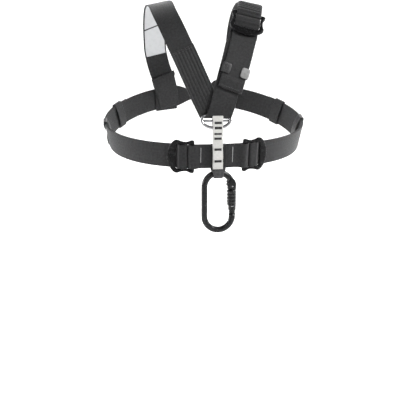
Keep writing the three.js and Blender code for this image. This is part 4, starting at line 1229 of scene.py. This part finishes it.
def strip_ribbon():
    point = ring_top()[0]

    def belt_row(v, offset):
        p = belt_point(1, v, offset)
        return point.y - p.y, p.z - point.z

    front = BAND_BACK + LAYER * 4 + 0.3
    rows = [belt_row(v, front) for v in (-21.5, -10, 2, 14, 22)]
    rows += [(5.2, -33), (9.3, -27), (10.5, -21), (9.9, -12), (9.2, -2.6)]
    for t in spaced(0, 180, 6)[1:]:
        a = math.radians(t)
        rows.append((7.55 + math.cos(a) * 1.65, -2.2 + math.sin(a) * 1.65))
    for t in (-30, -48, -66, -84):
        a = math.radians(t)
        rows.append((math.cos(a) * 5.95, math.sin(a) * 5.95))
    rows += [(-1.05, -8), (-1.15, -10.5), (0.2, -15), (1.1, -20), (1.9, -27), (1.2, -34)]
    rows += [belt_row(v, front - LAYER) for v in (22, 14, 2, -10, -19)]
    stations = []
    for i, (f, z) in enumerate(rows):
        c = Vector((0, point.y - f, point.z + z))
        c.x = mix(2.2, -0.2, smooth((c.z + 280) / 80))
        key = c.z if i < 10 else 1000 + i
        stations.append(station(c, X_AXIS, sizes().strip_width / MM / 2, key))
    stations = pinched(stations)

    def relief(key, v, side):
        sag = sum(near(key, z, 3.0) for z in STRIP_TACKS)
        puff = np.where(key < 0, 0.9 - 1.1 * np.clip(sag, 0, 1), 0)
        return puff if side == STRIP_OUT else 0 * puff

    return Ribbon(stations, web_thick(), step=1.4, relief=relief)


def loop_ribbon():
    rows = []

    def at(v, offset):
        p = belt_point(1, v, offset)
        rows.append((p.y, p.z, 13.6))

    front = BAND_BACK + LAYER * 2
    back = BAND_BACK - LAYER - 0.6
    for v in (21.5, 8, -8, -21.5):
        at(v, front)
    rows.append((CARABINER.y - LOOP_RADIUS + 2.4, CARABINER.z + 6.2, 12.6))
    for t in spaced(180, 0, 12):
        a = math.radians(t)
        rows.append((CARABINER.y + math.cos(a) * LOOP_RADIUS, CARABINER.z - math.sin(a) * LOOP_RADIUS,
                     mix(10.2, 7.6, math.sin(a))))
    rows.append((CARABINER.y + LOOP_RADIUS - 1.6, CARABINER.z + 7.2, 12.4))
    for v in (-20, -8, 8, 21.5):
        at(v, back)
    stations = [station(Vector((LOOP_X, y, z)), X_AXIS, half, i) for i, (y, z, half) in enumerate(rows)]
    return Ribbon(stations, web_thick(), step=1.2)


def rounded_loop(half, low, high, r):
    out = []
    for cv, cn, start in ((half - r, high - r, 0), (r - half, high - r, 90),
                          (r - half, low + r, 180), (half - r, low + r, 270)):
        for t in spaced(start, start + 90, 3):
            a = math.radians(t)
            out.append((cv + math.cos(a) * r, cn + math.sin(a) * r))
    return out


def clip_outline(half, low, high, r, lip):
    loop = rounded_loop(half, low, high, r)
    down = sorted(loop[0:4], key=lambda p: -p[1]) + sorted(loop[12:16], key=lambda p: -p[1])
    up = sorted(loop[8:12], key=lambda p: p[1]) + sorted(loop[4:8], key=lambda p: p[1])
    return [(half - lip, high)] + down + up + [(lip - half, high)]


def band_round(place, outline, length, thick, closed):
    origin, eu, ev, en = place
    stations = [station(origin + ev * v + en * n, eu, length / 2, i) for i, (v, n) in enumerate(outline)]
    return Ribbon(stations, thick, closed=closed, step=1.0)


def strap_clip_place():
    q = STRAP_CLIP_Q
    origin = strap_point(FREE_END_PATH, q, 0, free_end_offset(q))
    u = (strap_point(FREE_END_PATH, q - 6, 0, free_end_offset(q - 6))
         - strap_point(FREE_END_PATH, q + 6, 0, free_end_offset(q + 6))).normalized()
    v = profile_at(q)[2].cross(u).normalized()
    return origin, u, v, u.cross(v).normalized()


def buckle_parts(place):
    """Forged buckle: waved rim with lugs and a bulged end plate, and the middle bar."""
    origin, eu, ev, en = place
    rows = smooth_rows(BUCKLE_RIM + [(a, -b, c, -d, t) for a, b, c, d, t in BUCKLE_RIM[-2:0:-1]], 5)
    centres = []
    p_axes = []
    rp = []
    rq = []
    for uo, vo, ui, vi, thick in rows:
        outer = eu * uo + ev * vo
        inner = eu * ui + ev * vi
        centres.append(origin + (outer + inner) / 2)
        p_axes.append((outer - inner).normalized())
        rp.append((outer - inner).length / 2)
        rq.append(thick / 2)
    parts = [sweep(centres, p_axes, [en] * len(centres), rp, rq, 16, True, 3.4)]
    ends = [origin + eu * BAR_MIDDLE + ev * v for v in (-24.5, 24.5)]
    parts.append(sweep(ends, [eu] * 2, [-en] * 2, [BAR_HALF] * 2, [BUCKLE_THICK / 2] * 2, 16, False, 3))
    parts.append(hoop(origin + eu * 23.0 + en * 2.0, place, 1.9, 4.6, 0.6, 0.6, 24))
    return parts


def build_metal(name, parts, material, body, nodes):
    vertices, faces = merged(parts)
    piece = make_object(name, vertices, faces)
    recalculate(piece)
    return dress(piece, finish_of(material), body, nodes)


def recalculate(piece):
    """Turns every closed shell of the piece outwards."""
    mesh = bmesh.new()
    mesh.from_mesh(piece.data)
    bmesh.ops.recalc_face_normals(mesh, faces=mesh.faces)
    mesh.to_mesh(piece.data)
    mesh.free()


def plate(place, outline, thick):
    """Flat plate with softened edges over a closed outline, on a place (origin, u, v, out)."""
    origin, eu, ev, en = place
    points = smooth_rows(outline, 3)
    cx = sum(p[0] for p in points) / len(points)
    cy = sum(p[1] for p in points) / len(points)
    rings = ((PLATE_BEVEL * 1.6, 1.0), (PLATE_BEVEL * 0.5, 0.94), (0.0, 0.7), (0.0, 0.0))
    vertices = []
    for inset, rise in rings:
        for x, y in points:
            k = max(0.0, 1 - inset / math.hypot(x - cx, y - cy))
            flat = eu * (cx + (x - cx) * k) + ev * (cy + (y - cy) * k)
            vertices.append(origin + flat + en * (rise * thick))
    return vertices, dome_faces(len(rings), len(points))


def side_place(centre, side):
    """Place (origin, u, v, out) on the rear or front face of the carabiner."""
    return centre, X_AXIS, Z_AXIS, Y_AXIS * side


# Operators

class HARNESS_OT_belt(bpy.types.Operator):
    """Belt webbing, centre band, back band, keepers and side clips"""
    bl_idname = "harness.belt"
    bl_label = "Belt"

    def execute(self, context):
        web = finish_of("black_webbing")
        for side, suffix in ((-1, "left"), (1, "right")):
            belt = belt_ribbon(side).build("belt_" + suffix)
            dress(belt, web, nodes=["belt_webbing_" + suffix])
            outline = rounded_loop(web_half() + KEEPER_GAP, -KEEPER_GAP, LAYER + KEEPER_GAP, 1.5)
            keeper = band_round(belt_frame(side * KEEPER_U), outline, KEEPER_LENGTH, KEEPER_THICK, True)
            keeper = keeper.build("belt_keeper_" + suffix, 2.0)
            dress(keeper, web, nodes=["tail_keeper_" + suffix])
            outline = clip_outline(web_half() + 1.5, -CLIP_GAP, LAYER + CLIP_GAP, 1.5, CLIP_LIP)
            clip = band_round(belt_frame(side * SIDE_CLIP_U), outline, CLIP_LENGTH, CLIP_THICK, False)
            clip = clip.build("belt_clip_" + suffix, 2.0)
            dress(clip, finish_of("clip"), nodes=["side_clip_" + suffix])
        band = centre_ribbon()
        piece = band.build("centre_band")
        dress(piece, web, nodes=["belt_centre_band"])
        tacks = [bar_tack(band, key, low, CENTRE_TACK_TOP, CENTRE_TACK_WIDTH, 0.55, CENTRE_OUT)
                 for key, low in CENTRE_TACKS]
        tack = make_object("centre_band_tacks", *merged(tacks))
        dress(tack, finish_of("light_thread"))
        piece = back_ribbon().build("back_band")
        dress(piece, web, nodes=["belt_back_band"])
        return {"FINISHED"}


class HARNESS_OT_straps(bpy.types.Operator):
    """Shoulder straps, front strap, rear patches, their stitching and the label"""
    bl_idname = "harness.straps"
    bl_label = "Straps"

    def execute(self, context):
        web = finish_of("black_webbing")
        left = left_ribbon()
        dress(left.build("strap_left"), web, nodes=["shoulder_strap_left"])
        right = right_ribbon()
        dress(right.build("strap_right"), web, nodes=["shoulder_strap_right"])
        # Stitch rows in the valleys of the shoulder fold; their dark thread is also painted shade for the
        # valleys
        valleys = [FOLD_START - FOLD_RIDGE * i for i in range(1, FOLD_RIDGES + 1)]
        sewn = stitch_rows("shoulder_fold_stitches", right, rows_across(valleys, STITCH_EDGE), RIGHT_OUT)
        dress(sewn, finish_of("thread"))
        front = front_ribbon()
        dress(front.build("strap_front", 1.1), web, nodes=["front_strap"])
        runs = [[(key, v) for key in CHANNEL_ENDS] for v in CHANNELS] + rows_across(SEAM_ROWS, SEAM_EDGE)
        rows = stitch_rows("front_strap_stitches", front, runs, FRONT_OUT)
        dress(rows, finish_of("thread"))
        hem = stitch_rows("free_end_stitches", front, rows_across(HEM_ROWS, STITCH_EDGE), FRONT_OUT)
        dress(hem, finish_of("web_thread"))
        for suffix, path, top, shift, half in PATCHES:
            shifted = [(q, x + shift) for q, x in path]
            stations = []
            for q in spaced(PATCH_END, top, 24):
                low, high = patch_edges(suffix, q, half)
                stations.append(skew_station(shifted, low, high, -LAYER, q))
            patch = Ribbon(stations, web_thick(), relief=patch_relief)
            dress(patch.build("patch_" + suffix, 1.6), web, nodes=["rear_patch_" + suffix])
            edge = half - PATCH_HEM
            low, high = PATCH_BOX
            box = [(low, -edge), (low, edge), (high, edge), (high, -edge), (low, -edge), (high, edge)]
            runs = [box, [(low, edge), (high, -edge)]]
            if suffix == "left":
                runs += rows_across(PATCH_ROWS, edge)
            sewn = stitch_rows("patch_stitches_" + suffix, patch, runs, PATCH_IN)
            dress(sewn, finish_of("web_thread"))
        depth = -web_thick() / 2 - 0.75
        stations = [skew_station(LEFT_PATH, (q + 1, -LABEL_HALF), (q - 1, LABEL_HALF), depth, q)
                    for q in spaced(*LABEL_ENDS, 18)]
        label = Ribbon(stations, LABEL_THICK).build("label_tape")
        dress(label, finish_of("label"), nodes=["label"])
        return {"FINISHED"}


def rows_across(keys, edge):
    """One row of stitches from edge to edge at each key."""
    return [[(key, -edge), (key, edge)] for key in keys]


def patch_edges(suffix, q, half):
    """Places of a rear patch's two edges at q."""
    if suffix == "left":
        down = smooth((q - 490) / 58)
        lug = 2.2 * smooth((489 - q) / 3)
        return (q, -half + 9 * down), (q - 8 * down, half + 3 * down + lug)
    corner = 6.5 * (1 - math.sqrt(max(0.0, 1 - min(1.0, max(0.0, (505 - q) / 8.2)) ** 2)))
    knob = 3.4 * math.exp(-(((q - 508) / 7) ** 2))
    return (q, -half + corner - knob), (q, half)


def patch_relief(key, v, side):
    ridges = near(key, 484, 1.5) + near(key, 490, 1.5)
    return 0.55 * ridges if side == PATCH_IN else 0 * ridges


class HARNESS_OT_buckles(bpy.types.Operator):
    """Two chest buckles and the shoulder buckle"""
    bl_idname = "harness.buckles"
    bl_label = "Buckles"

    def execute(self, context):
        for name, place in (("chest_buckle_left", belt_buckle_frame(-1)),
                            ("chest_buckle_right", belt_buckle_frame(1)),
                            ("shoulder_buckle", shoulder_buckle_frame())):
            build_metal(name + "_forged", buckle_parts(place), "coated", "harness", [name])
        return {"FINISHED"}


class HARNESS_OT_strap_clip(bpy.types.Operator):
    """Clip on the free end, with an embossed lip and a light tab"""
    bl_idname = "harness.strap_clip"
    bl_label = "Strap clip"

    def execute(self, context):
        place = strap_clip_place()
        back = (web_thick() + CLIP_THICK) / 2 + 0.82
        outline = clip_outline(web_half() + 1.9, -back, back - 0.1, 1.6, 13.5)
        clip = band_round(place, outline, CLIP_LENGTH, CLIP_THICK, False).build("free_end_clip", 2.0)
        dress(clip, finish_of("clip"), nodes=["strap_clip"])
        origin, eu, ev, en = place
        top = back - 0.1 + CLIP_THICK / 2
        boss = origin - ev * 17.5 + en * (top - 0.1)
        parts = [pad((boss, eu, ev, en), 9.0, 8.3, 0.9, 5.0)]
        for radius, wire in ((5.4, 0.75), (2.2, 0.9)):
            parts.append(hoop(boss + en * 0.8, place, radius, radius, wire, 0.7, 28))
        build_metal("clip_boss", parts, "clip", "harness", [])
        tab = origin + ev * 17.3 + en * (top - 0.1)
        parts = [pad((tab, eu, ev, en), 9.2, 7.8, 1.6, 4.5)]
        build_metal("clip_tab", parts, "tab", "harness", [])
        return {"FINISHED"}


class HARNESS_OT_ring(bpy.types.Operator):
    """Sternal ring of polished steel with its cross bar"""
    bl_idname = "harness.ring"
    bl_label = "Sternal ring"

    def execute(self, context):
        point, tangent, normal = ring_top()
        down = normal * math.sin(RING_LEAN) - tangent * math.cos(RING_LEAN)
        face = X_AXIS.cross(down).normalized()
        wire = sizes().ring_wire / MM
        rows = [(-10, 0), (10, 0)] + RING_OUTLINE + [(0, 21.8)] + [(-x, s) for x, s in RING_OUTLINE[::-1]]
        path = [point + Vector((RING_X + x, 0, 0)) + down * s for x, s in smooth_rows(rows, 6)]
        n = len(path)
        axes = side_axes(path, face)
        thick = [mix(2.2, wire, smooth(((p - point).dot(down) - 0.5) / 5)) for p in path]
        parts = [sweep(path, axes, [face] * n, thick, [min(t, 2.5) for t in thick], 20, True)]
        ends = [point + Vector((RING_X + x, 0, 0)) + down * 9.6 for x in (-25, 25)]
        parts.append(sweep(ends, [down, down], [-face, -face], [2.0] * 2, [2.0] * 2, 20))
        build_metal("ring_steel", parts, "polished", "harness", ["sternal_ring"])
        return {"FINISHED"}


class HARNESS_OT_strip(bpy.types.Operator):
    """White connection strip with its bar tacks, and the grey sleeve of the loop"""
    bl_idname = "harness.strip"
    bl_label = "Strip and sleeve"

    def execute(self, context):
        strip = strip_ribbon()
        dress(strip.build("strip_tape", 1.6), finish_of("white_strip"),
              nodes=["connection_strip"])
        half = STRIP_TACK_HALF
        tacks = [bar_tack(strip, z - 0.9, -half, half, STRIP_TACK_WIDTH, 1.1, STRIP_OUT)
                 for z in STRIP_TACKS]
        piece = make_object("strip_tacks", *merged(tacks))
        dress(piece, finish_of("thread"))
        loop = loop_ribbon()
        dress(loop.build("loop_tape", 1.6), finish_of("grey_sleeve"), nodes=["loop_sleeve"])
        return {"FINISHED"}


class HARNESS_OT_carabiner(bpy.types.Operator):
    """Oval carabiner: body, gate and ribbed locking sleeve"""
    bl_idname = "harness.carabiner"
    bl_label = "Carabiner"

    def execute(self, context):
        wire = sizes().carabiner_wire / MM
        big = CARABINER_HALF_WIDTH
        straight = CARABINER_LENGTH / 2 - big
        cz = CARABINER.z - CARABINER_LENGTH / 2
        top_gap = CARABINER.z - PIVOT_DROP + 5.2
        nose_gap = CARABINER.z - PIVOT_DROP - GATE_LENGTH - 0.6
        start = math.degrees(math.asin((top_gap - cz - straight) / big))
        knots = []
        for t in spaced(start, 172, 44):
            a = math.radians(t)
            knots.append((math.cos(a) * big, cz + straight + math.sin(a) * big))
        knots += [(-big, z) for z in spaced(cz + straight - 3, cz - straight + 3, 10)]
        for t in spaced(188, 352, 44):
            a = math.radians(t)
            knots.append((math.cos(a) * big, cz - straight + math.sin(a) * big))
        knots.append((big - 0.05, nose_gap))
        path = [Vector((CARABINER.x + x, CARABINER.y, z)) for x, z in knots]
        n = len(path)
        axes = []
        for i in range(n):
            way = Z_AXIS if i in (0, n - 1) else path[i + 1] - path[i - 1]
            axes.append(way.normalized().cross(Y_AXIS).normalized())
        radii = [wire + 0.5 * smooth((6 - (n - 1 - i)) / 6) for i in range(n)]
        body = [sweep(path, axes, [Y_AXIS] * n, radii, [wire - 0.3] * n, 24, False, 2.3)]
        pivot = Vector((CARABINER.x + big, CARABINER.y, CARABINER.z - PIVOT_DROP))
        gate = []
        rivets = []
        glint_pads = []
        low = -SLEEVE_TOP - SLEEVE_LENGTH
        high = -SLEEVE_TOP
        for side in (-1, 1):
            body.append(plate(side_place(pivot + Y_AXIS * (side * HINGE_INNER), side), CHEEK, CHEEK_THICK))
            gate.append(plate(side_place(pivot, side), COMB, COMB_THICK))
            spot = pivot + Vector((-0.3, side * (HINGE_INNER + CHEEK_THICK - 0.05), 1.2))
            rivets.append(pad(side_place(spot, side), 1.5, 1.5, 0.5, 2.0, 20))
            # Painted highlight: thin polished pads on the front and back of the sleeve's collar, a bright
            # dash where light catches the groove below the sleeve
            spot = pivot + Vector((-0.6, side * (SLEEVE_RADIUS - 0.5), low + 8.6))
            glint_pads.append(pad(side_place(spot, side), 2.9, 0.7, 0.6, 3.0, 20))
        build_metal("carabiner_forged", body, "anodised", "carabiner",
                    ["carabiner_body"])
        build_metal("hinge_rivet", rivets, "polished", "carabiner", [])
        rows = [(5.0, -GATE_LENGTH), (5.9, -GATE_LENGTH + 0.9), (5.9, low - 1.5), (5.0, low - 0.5),
                (GATE_RADIUS, low - 0.4), (GATE_RADIUS, 0)]
        for t in (15, 30, 45, 60, 75):
            a = math.radians(t)
            rows.append((GATE_RADIUS * math.cos(a), GATE_RADIUS * math.sin(a)))
        gate.insert(0, capped(lathe(rows, pivot, 28), 28))
        build_metal("gate_bar", gate, "anodised", "gate", ["carabiner_gate"])

        inner = GATE_RADIUS + 0.4
        rows = [(inner, low), (SLEEVE_RADIUS - 1.6, low), (SLEEVE_RADIUS - 0.9, low + 0.7)]
        rows += [(SLEEVE_RADIUS - 0.7, z) for z in spaced(low + 1.6, high - 1.6, 70)]
        rows += [(SLEEVE_RADIUS - 0.9, high - 0.7), (SLEEVE_RADIUS - 1.6, high), (inner, high), (inner, low)]

        def ribs(z, a):
            inside = smooth((z - low - 9.5) / 1.2) * smooth((high - 0.8 - z) / 1.4)
            wave = math.sqrt(abs(math.sin((high - 0.8 - z) * math.pi / 6.2)))
            grip = 0.55 - 0.45 * math.cos(a)
            collar = math.exp(-(((z - low - 8.4) / 0.8) ** 2))
            return 0.25 + 0.5 * collar + inside * grip * (0.5 + 2.1 * wave)

        sleeve = [lathe(rows, pivot, 40, ribs)]
        # Polished pads that paint the collar's highlight
        build_metal("sleeve_glint_pad", glint_pads, "polished", "sleeve", [])
        build_metal("sleeve_ribbed", sleeve, "anodised", "sleeve", ["locking_sleeve"])
        return {"FINISHED"}


class HARNESS_OT_stage(bpy.types.Operator):
    """Pale floor that curves up into a wall, soft lights, camera"""
    bl_idname = "harness.stage"
    bl_label = "Studio"

    def execute(self, context):
        rows = [(1.0, 0.0), (FLOOR_RADIUS, 0.0)]
        for t in spaced(0, 90, 10)[1:]:
            a = math.radians(t)
            rows.append((FLOOR_RADIUS + COVE_RADIUS * math.sin(a), COVE_RADIUS * (1 - math.cos(a))))
        rows.append((FLOOR_RADIUS + COVE_RADIUS, WALL_TOP))
        vertices, faces = capped(lathe(rows, Z_AXIS * FLOOR_Z, 96), 96)
        stage = make_object("studio_floor", vertices, faces[:-1])
        stage.data.materials.append(floor_material())
        context.scene.view_settings.view_transform = "Standard"
        world = bpy.data.worlds.new("studio air")
        world.use_nodes = True
        background = world.node_tree.nodes["Background"]
        background.inputs["Color"].default_value = (1, 1, 1, 1)
        background.inputs["Strength"].default_value = AIR_STRENGTH
        context.scene.world = world
        for name, spot, size, power in LAMPS:
            lamp = bpy.data.lights.new(name, "AREA")
            lamp.shape = "DISK"
            lamp.size = size
            lamp.energy = power
            holder = bpy.data.objects.new(name, lamp)
            holder.location = spot
            holder.rotation_euler = (LAMP_TARGET - Vector(spot)).to_track_quat("-Z", "Y").to_euler()
            context.scene.collection.objects.link(holder)
        camera = bpy.data.cameras.new("camera")
        camera.sensor_fit = "HORIZONTAL"
        camera.sensor_width = SENSOR_WIDTH
        camera.lens = CAMERA_LENS
        camera.clip_end = 50.0
        holder = bpy.data.objects.new("camera", camera)
        forward = CAMERA_FORWARD.normalized()
        right = CAMERA_RIGHT.normalized()
        up = right.cross(forward)
        turn = Matrix((right, up, -forward)).transposed().to_4x4()
        holder.matrix_world = Matrix.Translation(CAMERA_PLACE) @ turn
        context.scene.collection.objects.link(holder)
        context.scene.camera = holder
        return {"FINISHED"}


class HARNESS_PT_panel(bpy.types.Panel):
    """Sizes, colours and build steps of the harness"""
    bl_idname = "HARNESS_PT_panel"
    bl_label = "Chest harness"
    bl_space_type = "VIEW_3D"
    bl_region_type = "UI"
    bl_category = "Harness"

    def draw(self, context):
        for group in (context.scene.harness_sizes, context.scene.harness_colours):
            box = self.layout.box()
            for name in type(group).__annotations__:
                box.prop(group, name)
        for step in STEPS:
            self.layout.operator(step.bl_idname)


STEPS = (HARNESS_OT_stage, HARNESS_OT_belt, HARNESS_OT_straps, HARNESS_OT_buckles, HARNESS_OT_strap_clip,
         HARNESS_OT_ring, HARNESS_OT_strip, HARNESS_OT_carabiner)
CLASSES = (HarnessSizes, HarnessColours) + STEPS + (HARNESS_PT_panel,)


def register():
    for each in CLASSES:
        bpy.utils.register_class(each)
    bpy.types.Scene.harness_sizes = bpy.props.PointerProperty(type=HarnessSizes)
    bpy.types.Scene.harness_colours = bpy.props.PointerProperty(type=HarnessColours)


def unregister():
    del bpy.types.Scene.harness_colours
    del bpy.types.Scene.harness_sizes
    for each in reversed(CLASSES):
        bpy.utils.unregister_class(each)


def main():
    register()
    bpy.ops.harness.stage()
    bpy.ops.harness.belt()
    bpy.ops.harness.straps()
    bpy.ops.harness.buckles()
    bpy.ops.harness.strap_clip()
    bpy.ops.harness.ring()
    bpy.ops.harness.strip()
    bpy.ops.harness.carabiner()


if __name__ == "__main__":
    main()
